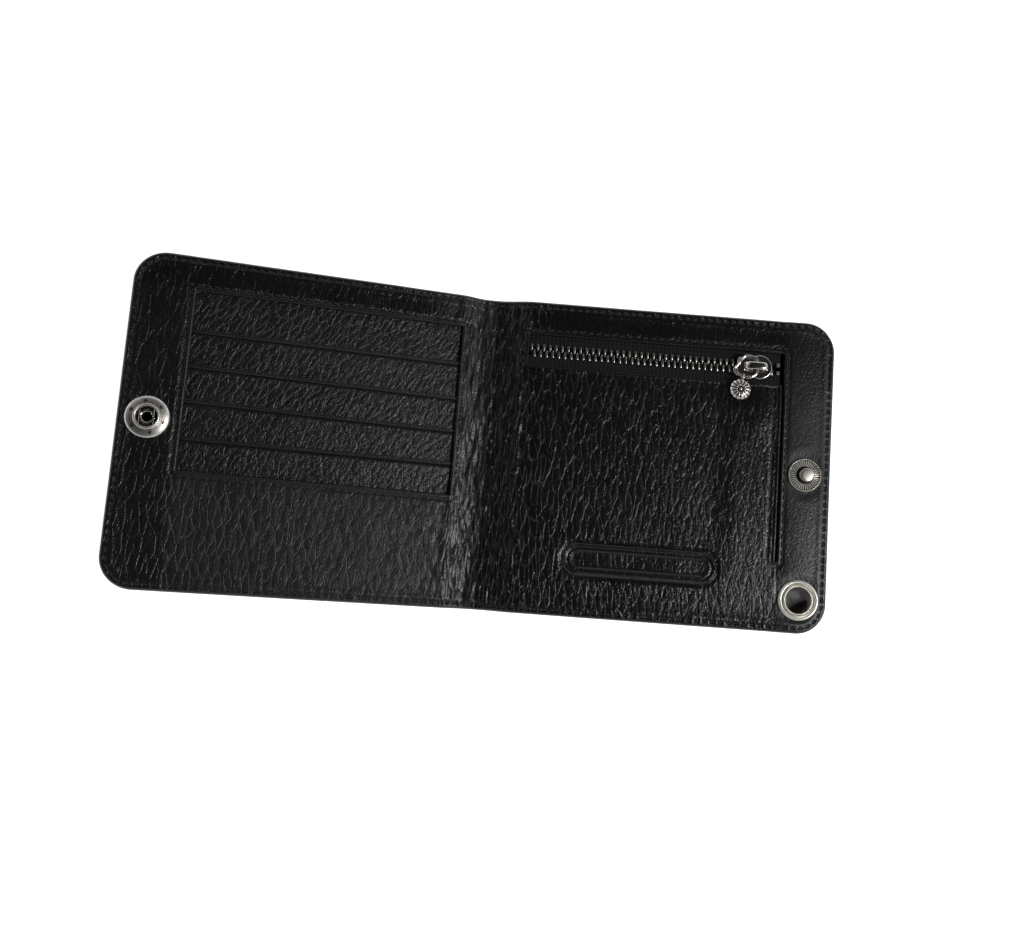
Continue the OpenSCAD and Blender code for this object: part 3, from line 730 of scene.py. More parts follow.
# tilt: how far each mouth rises at its two ends; lip: the grid's last lines, before the mouth
pocketPlan = {
    "reach": 2.0, "thick": 0.6, "topZ": 4.75, "drop": 0.7, "under": 2.5, "foot": 1.4, "grainTurn": 0.6,
    "tilt": ((0, 0), (0, 0.1), (0.2, -0.4), (0.6, 0), (0.2, 0.35)), "step": 0.4, "columns": 230,
    "lipDepth": 1.6, "lip": (1.35, 1.15, 0.95, 0.7, 0.45, 0.25, 0.1, 0.0), "lipRise": 0.2, "lipRoll": 0.45,
    "hem": 0.42, "crease": 0.02, "dent": 0.07, "swell": 0.1, "tiltFrom": 8, "tiltTo": 2,
}


def pocketStrip(index):
    # strip 0 is the backing; the others are pockets with a mouth along the top
    mouths, reach, step = leftPlan["mouths"], pocketPlan["reach"], pocketPlan["step"]
    y0 = mouths[index - 1] if index else ly1 + reach
    y1 = ly0 - pocketPlan["foot"] if index == len(mouths) else mouths[index] - pocketPlan["under"]
    x0, x1, columns = lx0 - reach, lx1 + reach, pocketPlan["columns"]
    length, body = y0 - y1, y0 - y1 - pocketPlan["lipDepth"]
    count = round(body / step)
    bm = gridOf([x0 + (x1 - x0) * i / columns for i in range(columns + 1)],
                [y1 + body * i / count for i in range(count + 1)] + [y0 - d for d in pocketPlan["lip"]])

    def grain(x, y):
        # the creases of these strips run down towards the spine
        c, s = math.cos(pocketPlan["grainTurn"]), math.sin(pocketPlan["grainTurn"])
        across, along = x * c + y * s, y * c - x * s
        open = smoothStep(1.5, 2.8, y0 - y) if index else 1 + 0 * x
        u, v = across / 1.9 + index * 17.3, along / 5.0 + index * 5.1
        return u, v, 0.15 + 0.75 * open, 0.3 + 0.5 * open, 0.5

    def height(x, y):
        folds, dents = grainAt(x, y, grain)
        down = y0 - y
        flat = smoothStep(0.3, 1.8, down) if index else 1
        sunk = folds * pocketPlan["crease"] + dents * pocketPlan["dent"]
        z = pocketPlan["topZ"] - pocketPlan["drop"] * (down / length) - sunk * flat
        z = z + pocketPlan["swell"] * layered(x / 12, y / 6, 70 + index)
        if index:
            z = z + pocketPlan["lipRise"] * line(down - 0.6, 0.42) - rolled(down, pocketPlan["lipRoll"])
            z = z - pocketPlan["hem"] * line(down - leftPlan["mouthTurn"] - 0.2, 0.28)
        return z

    def underside(co):
        return pocketPlan["topZ"] - pocketPlan["drop"] * (y0 - co.y) / length - pocketPlan["thick"]

    shapeTop(bm, height)
    closeBelow(bm, underside)
    outer, inner = pocketPlan["tilt"][index]
    tilt0, tilt1 = y0 - pocketPlan["tiltFrom"], y0 - pocketPlan["tiltTo"]
    for v in bm.verts:
        across = (v.co.x - lx0) / (lx1 - lx0)
        v.co.y += (inner + (outer - inner) * across) * smoothStep(tilt0, tilt1, v.co.y)
    node = "card_pocket_" + str(index) if index else "card_backing"
    finishPiece(bm, "cardPocketLeather" + str(index), "left", leather, (node,), smoothAngle=50, grain=grain)


for pocket in range(5):
    pocketStrip(pocket)
print("card pockets made")


coverPlan = {"crease": 0.12, "dent": 0.1, "seam": 0.26, "roll": 0.8}


def coverGrain(x, y):
    return x / 2.6 + y * 0.06 + 90, y / 4.2 + 0.3 * layered(x / 30, y / 30, 81, 2), 0.9, 0.3, 0.4


def coverHeight(x, y):
    folds, dents = grainAt(x, y, coverGrain)
    edge = edgeDistance(x, y)
    z = (folds * coverPlan["crease"] + dents * coverPlan["dent"]) * smoothStep(0.2, 2.6, edge)
    return z + coverPlan["seam"] * line(edge - wallet["stitchInset"], 0.5) + rolled(edge, coverPlan["roll"])


def coverLeather(name, side, rounds, replaced):
    # its outer face is at the bottom, its flat inner face is cut where it bends
    step = (wallet["coverStep"],)
    bm = gridSheet(gridLines((0, halfW), step), gridLines((-halfH, halfH), step), (), rounds)
    shapeTop(bm, coverHeight)
    cutAcross(bm, closeBelow(bm, wallet["coverTop"]))
    piece = finishPiece(bm, name, side, leather, replaced, smoothAngle=50, bend=True, grain=coverGrain)
    print(name, "has", len(piece.data.polygons), "faces")


coverLeather("rightCoverLeather", "right", (eyeletHole, postHole), ("right_cover", "spine_cover"))
coverLeather("leftCoverLeather", "left", (postHole,), ("left_cover",))


def turned(profile, steps=64):
    # a closed solid spun from a closed profile of (radius, height) pairs
    bm = bmesh.new()
    corners = [bm.verts.new((r, 0, z)) for r, z in profile]
    edges = [bm.edges.new(pair) for pair in zip(corners, corners[1:] + corners[:1])]
    bmesh.ops.spin(
        bm, geom=corners + edges, cent=(0, 0, 0), axis=(0, 0, 1), dvec=(0, 0, 0), angle=2 * math.pi,
        space=Matrix.Identity(4), steps=steps, use_merge=True, use_normal_flip=False, use_duplicate=False)
    bmesh.ops.remove_doubles(bm, verts=bm.verts, dist=1e-4)
    bmesh.ops.dissolve_degenerate(bm, dist=1e-5, edges=bm.edges)
    return bm


def softened(piece, width, angle):
    bevel = piece.modifiers.new("softEdges", "BEVEL")
    bevel.width = width * 0.001
    bevel.segments = 2
    bevel.limit_method = "ANGLE"
    bevel.angle_limit = math.radians(angle)
    bevel.harden_normals = True


def meshOf(bm):
    mesh = bpy.data.meshes.new("shape")
    bm.to_mesh(mesh)
    bm.free()
    return mesh


def rounded(bm, edges, width, segments):
    bmesh.ops.bevel(bm, geom=edges, offset=width, segments=segments, profile=0.5, affect="EDGES", material=-1)


def shift(bm, x, y, z):
    bmesh.ops.translate(bm, verts=bm.verts, vec=(x, y, z))


def mergedSolid(node, flatAngle):
    # a plain solid, still in the frame's metres, with its flat faces made whole
    bm = bmesh.new()
    bm.from_mesh(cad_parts[node].data)
    bmesh.ops.remove_doubles(bm, verts=bm.verts, dist=1e-6)
    bmesh.ops.dissolve_limit(bm, angle_limit=math.radians(flatAngle), verts=bm.verts, edges=bm.edges)
    return bm


def softCopy(node, name, body, material, width):
    # a merged copy of a plain solid, with its edges softened
    mesh = meshOf(mergedSolid(node, 4))
    softened(makePiece(mesh, name, body, material, (node,), 30), width, 30)


def placed(bm, mesh, matrix):
    # adds a small mesh to a larger one at a place
    before = len(bm.verts)
    bm.from_mesh(mesh)
    bm.verts.ensure_lookup_table()
    for v in bm.verts[before:]:
        v.co = matrix @ v.co


def threadShape(axis, sizes):
    # one stitch: a small ball drawn out along an axis
    bm = bmesh.new()
    bmesh.ops.create_uvsphere(bm, u_segments=8, v_segments=6, radius=0.5)
    bm.transform(Matrix.Rotation(math.radians(90), 4, axis))
    bm.transform(Matrix.Diagonal((*sizes, 1)))
    return meshOf(bm)


stitchPlan = {"sizes": (1.95, 0.52, 0.42), "slant": 6, "ahead": 0.2, "cornerSteps": 16}
tackPlan = {"sizes": (0.42, 1.5, 0.5), "count": 11, "inset": 0.2, "turn": 0.25, "lift": 0.1}


def evenly(path, pitch):
    # places and directions at equal steps along a line of points
    path = np.array(path, float)
    passed = np.concatenate([[0], np.cumsum(np.hypot(*np.diff(path, axis=0).T))])
    count = int(passed[-1] // pitch)
    at = (np.arange(count) + 0.5) * passed[-1] / count
    (xs, ys), (ax, ay) = ([np.interp(place, passed, path[:, i]) for i in range(2)]
                          for place in (at, at + stitchPlan["ahead"]))
    return xs, ys, np.arctan2(ay - ys, ax - xs)


def rimPath(inset, start):
    r, steps = cornerR - inset, stitchPlan["cornerSteps"]
    turn = [math.radians(90 * i / steps) for i in range(steps + 1)]
    low = [(halfW - cornerR + r * math.sin(a), cornerR - halfH - r * math.cos(a)) for a in turn]
    high = [(halfW - cornerR + r * math.cos(a), halfH - cornerR + r * math.sin(a)) for a in turn]
    return [(start, inset - halfH)] + low + high + [(start, halfH - inset)]


def stitches(name, side, paths, height, bend=True, lift=0.12):
    thread = threadShape("Y", stitchPlan["sizes"])
    slant = math.radians(stitchPlan["slant"])
    bm = bmesh.new()
    for path in paths:
        xs, ys, turns = evenly(path, wallet["stitchPitch"])
        for x, y, z, turn in zip(xs, ys, height(xs, ys) + lift, turns):
            placed(bm, thread, Matrix.Translation((x, y, z)) @ Matrix.Rotation(turn + slant, 4, "Z"))
    finishPiece(bm, name, side, threadMaterial, smoothAngle=0, bend=bend)


def barTack():
    # short threads side by side across the foot of the slit
    low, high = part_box("slit_bar_tack")
    thread = threadShape("X", tackPlan["sizes"])
    bm = bmesh.new()
    y = (low.y + high.y) * 500
    for i in range(tackPlan["count"]):
        x = low.x * 1000 - spineX + tackPlan["inset"] + i * (high.x - low.x - 0.0004) * 100
        z = float(rightTop(np.array([x]), np.array([y]))[0]) + tackPlan["lift"]
        turn = Matrix.Rotation(tackPlan["turn"] * (-1) ** i, 4, "Z")
        placed(bm, thread, Matrix.Translation((x, y, z)) @ turn)
    finishPiece(bm, "slitBarTack", "right", threadMaterial, ("slit_bar_tack",), smoothAngle=0)


# seams run a little outside the openings
seamOut = {"window": 1.8, "zip": 1.7, "zipFoot": 1.5, "slit": 1.5, "slitFoot": 1, "hemEnd": 2}
rim = rimPath(wallet["stitchInset"], wallet["rimStart"])
out = seamOut["window"]
low, high = (lx0 - out, ly0 - out), (lx1 + out, ly1 + out)
windowSeam = [low, (high[0], low[1]), high, (low[0], high[1]), low]
out = seamOut["zip"]
zipSeam = [(wx0 - out, wy0 - seamOut["zipFoot"]), (wx0 - out, wy1 + out), (wx1 + out, wy1 + out)]
hemSeam = [(rightPlan["hemX"], sy0 + seamOut["hemEnd"]), (rightPlan["hemX"], sy1 - seamOut["hemEnd"])]
slitSeam = [(wx1 + seamOut["slit"], wy1), (wx1 + seamOut["slit"], sy0 - seamOut["slitFoot"])]
stitches("rightRimStitches", "right", [rim], rightTop)
stitches("leftRimStitches", "left", [rim], leftTop)
stitches("windowStitches", "left", [windowSeam], leftTop, bend=False, lift=0.16)
stitches("zipStitches", "right", [zipSeam, hemSeam], rightTop, bend=False, lift=0.06)
stitches("slitStitches", "right", [slitSeam], rightTop, bend=False, lift=0.26)
stitches("rightCoverStitches", "right", [rim], coverHeight, lift=-0.1)
stitches("leftCoverStitches", "left", [rim], coverHeight, lift=-0.1)
print("stitches made")
barTack()

zipPlan = {
    "x": (10.4, 96.4), "y": 35.2, "z": 4.55, "toothStart": 12.45, "pitch": 2.05, "count": 40,
    "tapeInner": 1.4, "tapeReach": 8.3, "tapeTop": 0.24, "tapeUnder": 0.25, "cordEnd": 4.5,
    "tooth": (0.8, 1.9, 1.7), "toothOut": 1.25, "toothBevel": 0.2, "knob": (0.6, 0.7, 1.0), "knobUp": 0.5,
    "cord": 0.06, "cordStart": 2.5, "cordPitch": 0.9, "weave": 0.02,
}


def zipTape(sign, name, node):
    bm = bmesh.new()
    bmesh.ops.create_grid(bm, x_segments=120, y_segments=24, size=1)
    (x0, x1), inner = zipPlan["x"], zipPlan["tapeInner"]
    for v in bm.verts:
        v.co.x = x0 + (v.co.x + 1) / 2 * (x1 - x0)
        away = inner + (v.co.y + 1) / 2 * (zipPlan["tapeReach"] - inner)
        cord = zipPlan["cord"] * math.cos((away - zipPlan["cordStart"]) / zipPlan["cordPitch"] * 2 * math.pi)
        rib = cord if away < zipPlan["cordEnd"] else zipPlan["weave"] * math.cos(away * 5)
        v.co.z = zipPlan["z"] + zipPlan["tapeTop"] + rib * 0.5
        v.co.y = zipPlan["y"] + sign * away
    closeBelow(bm, zipPlan["z"] - zipPlan["tapeUnder"])
    finishPiece(bm, name, "right", tapeCloth, (node,))


def zipTeeth(sign, name, node):
    tooth = bmesh.new()
    bmesh.ops.create_cube(tooth, size=1)
    tooth.transform(Matrix.Diagonal((*zipPlan["tooth"], 1)))
    rounded(tooth, tooth.edges, zipPlan["toothBevel"], 2)
    shift(tooth, 0, zipPlan["toothOut"], 0)
    knob = Matrix.Translation((0, 0, zipPlan["knobUp"])) @ Matrix.Diagonal((*zipPlan["knob"], 1))
    bmesh.ops.create_uvsphere(tooth, u_segments=8, v_segments=6, radius=0.5, matrix=knob)
    tooth = meshOf(tooth)
    bm = bmesh.new()
    turn = Matrix.Rotation(0 if sign > 0 else math.pi, 4, "Z")
    for i in range(zipPlan["count"]):
        x = zipPlan["toothStart"] + i * zipPlan["pitch"] + (zipPlan["pitch"] / 2 if sign < 0 else 0)
        placed(bm, tooth, Matrix.Translation((x, zipPlan["y"], zipPlan["z"])) @ turn)
    finishPiece(bm, name, "right", toothMetal, (node,))


zipTape(1, "zipTapeUpperCloth", "zip_tape_upper")
zipTape(-1, "zipTapeLowerCloth", "zip_tape_lower")
zipTeeth(1, "zipTeethUpperMetal", "zip_teeth_upper")
zipTeeth(-1, "zipTeethLowerMetal", "zip_teeth_lower")
softCopy("zip_top_stops", "zipTopStopsMetal", "right_leaf", toothMetal, 0.2)
softCopy("zip_bottom_stop", "zipBottomStopMetal", "right_leaf", toothMetal, 0.2)


def bowed(path, cuts, closed):
    # cuts the corners of a path again and again, so that it bends softly
    for share in cuts:
        ends = list(zip(path, path[1:] + path[:1])) if closed else list(zip(path, path[1:]))
        cut = [spot for a, b in ends for spot in (a.lerp(b, share), a.lerp(b, 1 - share))]
        path = cut if closed else [path[0]] + cut[1:-1] + [path[-1]]
    return path


def strap(path, across, thick, wide, closed):
    # a strap of oval section along a path; its width runs along the given direction
    bm = bmesh.new()
    rings = []
    count = len(path)
    for i, spot in enumerate(path):
        before = path[i - 1] if closed or i else spot
        after = path[(i + 1) % count] if closed or i < count - 1 else spot
        along = (after - before).normalized()
        axes = Matrix((across.cross(along) * thick, across * wide, along)).transposed().to_4x4()
        matrix = Matrix.Translation(spot) @ axes
        ring = bmesh.ops.create_circle(bm, segments=16, radius=0.5, matrix=matrix)["verts"]
        rings.append(list({edge for v in ring for edge in v.link_edges}))
    for first, second in zip(rings, rings[1:] + (rings[:1] if closed else [])):
        bmesh.ops.bridge_loops(bm, edges=first + second)
    if not closed:
        bmesh.ops.holes_fill(bm, edges=bm.edges, sides=20)
    return bm


# crown: (x, z) of the strap over the slider; pull: (x, y) of the loop of wire; sections are (thick, wide)
sliderPlan = {
    "shoulder": 4.1, "crownSection": (0.7, 2.5), "pullSection": (0.82, 0.76), "pullX": -1.2, "pullZ": 1.0,
    "crown": [(-5.3, -0.2), (-5.15, 0.7), (-4.1, 1.6), (-2.6, 1.9), (-1.0, 1.9), (0.7, 1.8), (1.75, 1.4),
              (2.05, 0.6), (2.1, -0.2)],
    "pull": [(0, 2.9), (-4.45, 3.4), (-6.1, 0.58), (-8.1, -1.75), (-6.65, -3.43), (-2.8, -4.38), (0, -2.83)],
    "wingBevel": 0.00045,
}


def upperWing():
    # the top edge of the wing is well rounded
    bm = mergedSolid("slider_upper_wing", 2)
    top = max(v.co.z for v in bm.verts)
    rim = [e for e in bm.edges if all(v.co.z > top - 1e-5 for v in e.verts)]
    rounded(bm, rim, sliderPlan["wingBevel"], 5)
    bm.transform(Matrix.Translation((-spineX, 0, -restZ)) @ Matrix.Scale(1000, 4))
    piece = finishPiece(
        bm, "sliderUpperWingMetal", "right", nickel, ("slider_upper_wing",), "zip_slider", smoothAngle=40)
    piece.modifiers.new("flatTop", "WEIGHTED_NORMAL").keep_sharp = True


def slider():
    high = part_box("slider_upper_wing")[1]
    place = Vector((high.x * 1000 - spineX - sliderPlan["shoulder"], zipPlan["y"], high.z * 1000 - restZ))
    crown = bowed([Vector((x, 0, z)) for x, z in sliderPlan["crown"]], (0.25, 0.25), False)
    bm = strap(crown, Vector((0, 1, 0)), *sliderPlan["crownSection"], False)
    shift(bm, *place)
    finishPiece(bm, "sliderCrownMetal", "right", nickel, ("slider_crown",), "zip_slider", smoothAngle=60)
    loop = bowed([Vector((x, y, 0)) for x, y in sliderPlan["pull"]], (0.16, 0.28, 0.25), True)
    bm = strap(loop, Vector((0, 0, 1)), *sliderPlan["pullSection"], True)
    shift(bm, place.x + sliderPlan["pullX"], place.y, place.z + sliderPlan["pullZ"])
    finishPiece(bm, "zipPullMetal", "right", nickel, ("zip_pull",), "pull", smoothAngle=60)


upperWing()
slider()
# the lower wing, under the tape, is nickel painted darker as painted shade
softCopy("slider_lower_wing", "sliderLowerWingMetal", "zip_slider", paintedShadeNickel, 0.2)
print("zip made")

charmPlan = {
    "radius": 3.5, "half": 1.3, "ribs": 14, "dish": 0.15, "ribHeight": 0.8, "rimStart": 0.88, "rimDrop": 0.7,
    "knob": 0.6, "knobRadius": 0.17, "backKnob": 0.4, "tarnishAndShade": (0.93, 0.52),
}


def charm():
    # a round button with ribs spreading from a small knob
    low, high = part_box("charm")
    middle = (low + high) * 500
    place = Matrix.Translation((middle.x - spineX, middle.y, middle.z - restZ))
    radius, half = charmPlan["radius"], charmPlan["half"]
    bm = bmesh.new()
    bmesh.ops.create_uvsphere(bm, u_segments=120, v_segments=30, radius=1)
    for v in bm.verts:
        x, y, up = v.co
        r, a = math.hypot(x, y), math.atan2(y, x)
        rib = abs(math.cos(a * charmPlan["ribs"] / 2)) ** 0.7
        spread = min(1, max(0, (r - 0.2) / 0.2))
        rimShare = 1 if r < charmPlan["rimStart"] else charmPlan["rimDrop"]
        dish = charmPlan["dish"] + charmPlan["ribHeight"] * rib * spread * rimShare
        knob = charmPlan["knob"] * math.exp(-(r / charmPlan["knobRadius"]) ** 4)
        rise = dish + knob * (1 if up > 0 else charmPlan["backKnob"])
        grow = 0.93 + 0.08 * rib
        v.co = (x * radius * grow * 0.985, y * radius * grow * 0.985, rise * up * half * 0.95)
    bm.transform(place)
    finishPiece(bm, "charmMetal", "right", nickel, ("charm",), "charm", smoothAngle=60)
    # a near-black core shows between the ribs, as painted shade
    bm = bmesh.new()
    bmesh.ops.create_uvsphere(bm, u_segments=48, v_segments=16, radius=1)
    wide, thick = charmPlan["tarnishAndShade"]
    bm.transform(Matrix.Diagonal((radius * wide, radius * wide, half * thick, 1)))
    bm.transform(place)
    finishPiece(bm, "charmPaintedShadeCore", "right", paintedShadeMetal, (), "charm")


charm()


def metalPiece(name, side, material, bm, place, replaced=(), bevel=0):
    shift(bm, *place)
    piece = finishPiece(bm, name, side, material, replaced, smoothAngle=38)
    if bevel:
        softened(piece, bevel, 38)


def ribRing(bm, count, radius, height, sizes, twist=0):
    # small bars at even steps round an axis
    for i in range(count):
        turn = Matrix.Rotation(2 * math.pi * i / count, 4, "Z")
        place = turn @ Matrix.Translation((radius, 0, height)) @ Matrix.Rotation(math.radians(twist), 4, "X")
        bmesh.ops.create_cube(bm, size=1, matrix=place @ Matrix.Diagonal((*sizes, 1)))
    return bm


# rings of bars: how many, at what radius and height, their sizes, and their twist in degrees
notches, studRibs = (48, 4.2, 1.46, (0.36, 0.15, 0.16)), (38, 3.95, 0.45, (1.9, 0.25, 0.25), 45)
markPlan = {
    "angles": (100, 159, 219, 287, 344, 40), "radius": 4.85, "height": 1.36, "petals": 5, "out": 0.4,
    "petal": (0.7, 0.34, 0.26),
}


def socketMarks():
    # six small punched marks and a ring of notches on the socket's cap, painted near black as painted shade
    bm = bmesh.new()
    for angle in markPlan["angles"]:
        # the leaf is mirrored, so the angle turns the other way
        a = math.radians(180 - angle)
        place = (markPlan["radius"] * math.cos(a), markPlan["radius"] * math.sin(a), markPlan["height"])
        for i in range(markPlan["petals"]):
            turn = Matrix.Rotation(a + 2 * math.pi * i / markPlan["petals"], 4, "Z")
            petal = Matrix.Translation(place) @ turn @ Matrix.Translation((markPlan["out"], 0, 0))
            petal = petal @ Matrix.Diagonal((*markPlan["petal"], 1))
            bmesh.ops.create_uvsphere(bm, u_segments=8, v_segments=4, radius=0.5, matrix=petal)
    return ribRing(bm, *notches)


# profiles are (radius, height) pairs; heights count from the facing's top or from the cover's outside
capDome = [(0, -1), (3.4, -1), (4.8, -0.88), (5.7, -0.62), (6.15, -0.3), (6.3, 0), (1.6, 0)]
profiles = {
    "socket": [(1.7, 0), (6.3, 0), (6.48, 0.15), (6.48, 0.45), (6.3, 0.75), (5.9, 1.0), (5.4, 1.2),
               (4.8, 1.36), (4.2, 1.5), (3.98, 1.56), (3.9, 1.72), (3.78, 1.95), (3.62, 2.08), (3.42, 2.12),
               (3.25, 2.05), (3.15, 1.9), (3.15, 1.75), (3.75, 1.7), (3.75, 0.32), (1.7, 0.32)],
    "bore": [(0, 1.4), (1.35, 1.4), (1.38, 5.6), (1.28, 5.6), (1.24, 1.6), (0, 1.6)],
    "socketCap": capDome + [(1.6, 6.15), (2.1, 6.15), (2.25, 6.3), (2.2, 6.5), (2.0, 6.6), (1.75, 6.55),
                            (1.55, 6.35), (1.35, 6.0), (1.3, 1.5), (0, 1.5)],
    "well": [(2.4, 0.35), (3.1, 0.35), (3.1, 0.6), (2.4, 0.6)],
    "stud": [(1.65, 0), (5.5, 0), (5.6, 0.1), (5.55, 0.35), (5.42, 0.62), (5.28, 0.78), (5.15, 0.7),
             (4.98, 0.4), (3.2, 0.3), (2.5, 0.42), (2.0, 0.75), (1.8, 1.1), (1.85, 1.7), (2.1, 1.95),
             (2.25, 2.15), (2.2, 2.35), (1.95, 2.5), (1.4, 2.58), (0, 2.6), (0, 0.85), (1.65, 0.85)],
    "dish": [(1.7, 0.2), (5.1, 0.2), (5.1, 0.5), (4.9, 0.47), (3.2, 0.4), (2.5, 0.52), (2.0, 0.85),
             (1.7, 0.9)],
    "studCap": capDome + [(1.6, 6.6), (0, 6.6)],
    "eyelet": [(4.2, -0.75), (4.6, -1), (5.35, -1), (5.55, -0.6), (5.35, -0.5), (4.65, -0.5), (4.65, 5.8),
               (6.7, 5.8), (6.7, 5.95), (6.6, 6.25), (6.42, 6.53), (6.2, 6.74), (5.97, 6.82), (5.75, 6.76),
               (5.48, 6.5), (5.24, 6.15), (5.1, 6.02), (4.98, 6.12), (4.84, 6.42), (4.66, 6.6), (4.46, 6.6),
               (4.28, 6.42), (4.2, 6.15)],
}
snapTop, snapOutside, eyeletPlace = (snapX, 0, leafTop), (snapX, 0, 0), (eyeletX, eyeletY, 0)
spun = {name: turned(profile, {"bore": 48, "socketCap": 72, "studCap": 72, "well": 64}.get(name, 96))
        for name, profile in profiles.items()}
metalPiece("snapSocketMetal", "left", satinNickel, spun["socket"], snapTop, ("snap_socket",), 0.06)
metalPiece("socketMarks", "left", paintedShadeMetal, socketMarks(), snapTop)
# the bore is painted near black, as painted shade
metalPiece("socketBoreMetal", "left", paintedShadeMetal, spun["bore"], snapOutside)
metalPiece("socketCapMetal", "left", nickel, spun["socketCap"], snapOutside, ("socket_cap",), 0.05)
# the well inside the socket is painted near black, as painted shade
metalPiece("socketWellMetal", "left", paintedShadeMetal, spun["well"], snapTop)
# the spring inside the socket is nickel painted darker, as painted shade
softCopy("socket_spring", "socketSpringMetal", "left_leaf", paintedShadeNickel, 0.03)
# the stud has a dish under the ball, painted near black as painted shade, with fine ribs round it
metalPiece("snapStudMetal", "right", satinNickel, spun["stud"], snapTop, ("snap_stud",), 0.05)
metalPiece("snapStudDish", "right", paintedShadeMetal, spun["dish"], snapTop)
metalPiece("snapStudTicks", "right", satinNickel, ribRing(bmesh.new(), *studRibs), snapTop)
metalPiece("studCapMetal", "right", nickel, spun["studCap"], snapOutside, ("stud_cap",), 0.05)
metalPiece("chainEyeletMetal", "right", satinNickel, spun["eyelet"], eyeletPlace, ("chain_eyelet",), 0.04)
softCopy("eyelet_washer", "eyeletWasherMetal", "right_leaf", nickel, 0.08)
print("metal parts made")


def liningCloth(name, side, replaced, reachX, reachY, low, high, rounds=()):
    # one half of a lining, from the middle of the spine outwards
    bm = gridSheet(gridLines((0, 13, halfW), (0.8, 3)), gridLines((-halfH, halfH), (3,)), (), rounds)
    for v in bm.verts:
        v.co = (v.co.x * (reachX / halfW), v.co.y * (reachY / halfH), high)
    cutAcross(bm, closeBelow(bm, low))
    piece = finishPiece(bm, name, side, lining, replaced, smoothAngle=50, bend=True)


pouchPlan = {
    "x": (10.6, 77.7), "y": (-44.8, 43.0), "mouth": 27.4, "middle": 3.36, "half": 1.12, "ply": 0.2,
    "cuts": 27, "sideSteep": 12, "footSteep": 15, "crumple": 0.08, "easing": 3,
}


def coinPouch():
    # two plies sewn round three sides, open under the zip
    (x0, x1), (y0, y1), mouth = pouchPlan["x"], pouchPlan["y"], pouchPlan["mouth"]
    bm = bmesh.new()
    bmesh.ops.create_cube(bm, size=2)
    bmesh.ops.subdivide_edges(bm, edges=bm.edges, cuts=pouchPlan["cuts"], use_grid_fill=True)
    mouthAt = (mouth - y0) / (y1 - y0) * 2 - 1
    gone = [face for face in bm.faces if face.normal.z > 0.5 and face.calc_center_median().y > mouthAt]
    bmesh.ops.delete(bm, geom=gone, context="FACES")
    for v in bm.verts:
        a, b, up = v.co
        inside = min(1, (1 - abs(a)) * pouchPlan["sideSteep"], (b + 1) * pouchPlan["footSteep"])
        full = math.sqrt(max(0, 1 - (1 - inside) ** 2))
        v.co.x = x0 + (a + 1) / 2 * (x1 - x0)
        v.co.y = y0 + (b + 1) / 2 * (y1 - y0)
        crumple = pouchPlan["crumple"] * float(layered(np.array(v.co.x / 9), np.array(v.co.y / 9), 55))
        # past the mouth the lower ply lies flat, clear of the slider
        lain = float(smoothStep(mouth - pouchPlan["easing"], mouth, v.co.y)) * (1 - full)
        v.co.z = pouchPlan["middle"] + pouchPlan["half"] * (up * full - lain) + crumple * full
    bmesh.ops.remove_doubles(bm, verts=bm.verts, dist=0.02)
    bmesh.ops.recalc_face_normals(bm, faces=bm.faces)
    bmesh.ops.solidify(bm, geom=bm.faces[:], thickness=pouchPlan["ply"])
    finishPiece(bm, "coinPouchCloth", "right", lining, ("coin_bag",), smoothAngle=60)


# how far a lining reaches out and up, and the heights of its two faces
coverCloth, billCloth = (halfW - 0.5, halfH - 0.5, 1.22, 1.48), (113.1, 50.4, 1.77, 1.93)
rightNodes = ("right_cover_lining", "spine_cover_lining"), ("right_bill_lining", "spine_bill_lining")
liningCloth("rightCoverLining", "right", rightNodes[0], *coverCloth, (eyeletHole,))
liningCloth("leftCoverLining", "left", ("left_cover_lining",), *coverCloth)
liningCloth("rightBillLining", "right", rightNodes[1], *billCloth, (eyeletHole,))
liningCloth("leftBillLining", "left", ("left_bill_lining",), *billCloth)
coinPouch()
print("linings made")

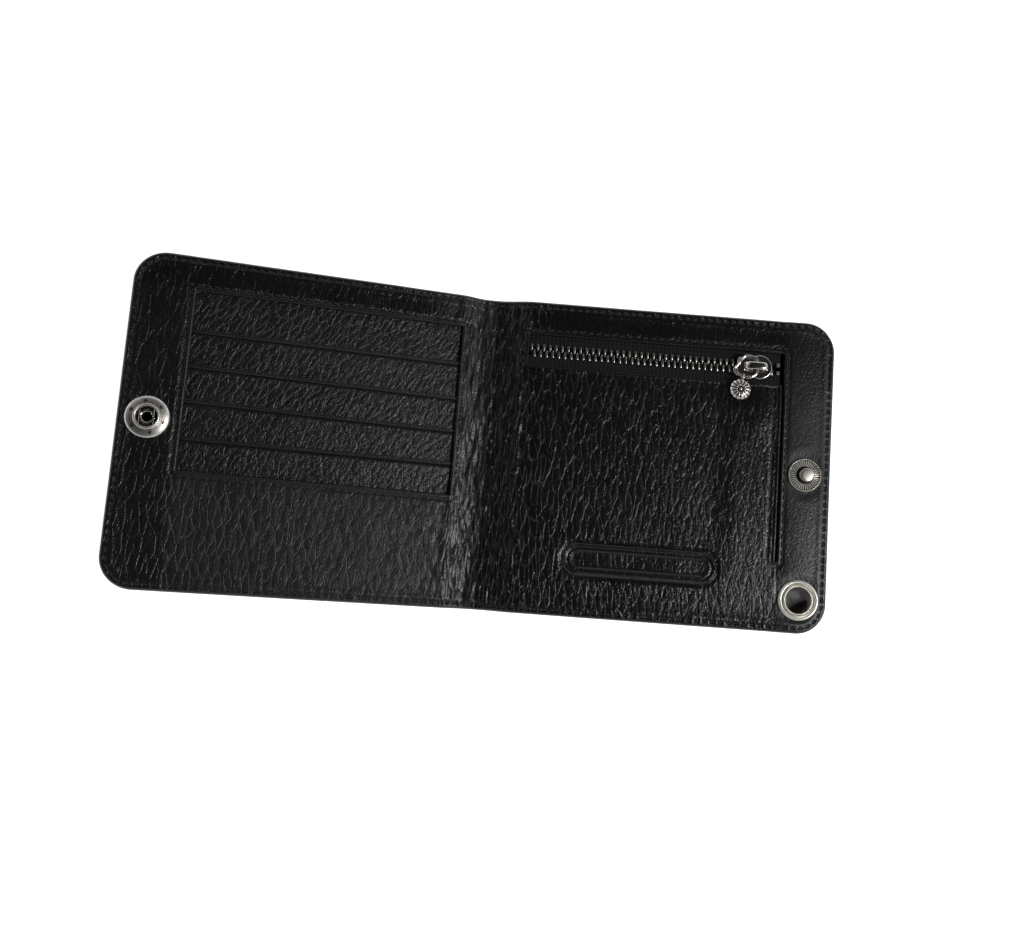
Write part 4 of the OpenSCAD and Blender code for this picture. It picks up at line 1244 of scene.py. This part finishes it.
# the charm's ring is the one node that stays as it is
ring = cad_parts["charm_ring"].data
ring.materials.clear()
ring.materials.append(nickel)


def makeLight(name, place, size, watts):
    # a round lamp that faces the wallet
    data = bpy.data.lights.new(name, "AREA")
    data.shape = "DISK"
    data.size = size
    data.energy = watts
    light = addObject(name, data)
    light.location = place
    light.rotation_mode = "QUATERNION"
    light.rotation_quaternion = (Vector((0, 0, 0)) - Vector(place)).to_track_quat("-Z", "Y")


world = bpy.data.worlds.new("studio")
world.use_nodes = True
worldTree = world.node_tree
# a dark ceiling over bright low walls, so that the metal's edges catch the light
heading = addNode(worldTree, "TexCoord", {}, "Generated")
rise = addNode(worldTree, "SeparateXYZ", {0: heading}, "Z")
glow = mapRange(worldTree, rise, 0.1, 0.8, 1.1, 0.02, "SMOOTHSTEP")
fill(worldTree, worldTree.nodes["Background"], {"Color": (0.95, 0.97, 1.0, 1), "Strength": glow})
bpy.context.scene.world = world
# place, size and watts of each lamp
lightPlan = {"keyLight": ((0.8, -0.2, 0.82), 0.36, 9.4), "fillLight": ((-0.8, 0.6, 0.7), 0.9, 0.5)}
for name, plan in lightPlan.items():
    makeLight(name, *plan)

floorShape = bmesh.new()
bmesh.ops.create_grid(floorShape, x_segments=1, y_segments=1, size=3)
floorMesh = meshOf(floorShape)
floorMaterial, floorTree, floorShader = newMaterial("paleFloor", (0.9, 0.9, 0.9), 0.9)
# it glows a little, but for where it is closed in; there its colour is painted dark, as painted shade
openness = addNode(floorTree, "AmbientOcclusion", {"Distance": 0.02}, "AO", samples=12)
floorGlowAndPaintedShade = mapRange(floorTree, openness, 0.28, 0.46, 0.02, 1)
fill(floorTree, floorShader, {
    "Emission Color": (1, 1, 1, 1), "Emission Strength": times(floorTree, floorGlowAndPaintedShade, 0.86),
    "Base Color": mixColor(floorTree, floorGlowAndPaintedShade, (0.04, 0.038, 0.036), (0.9, 0.9, 0.9)),
    "Specular IOR Level": 0.0,
})
floorMesh.materials.append(floorMaterial)
addObject("floor", floorMesh)
bpy.context.scene.view_settings.view_transform = "Standard"
print("studio made")
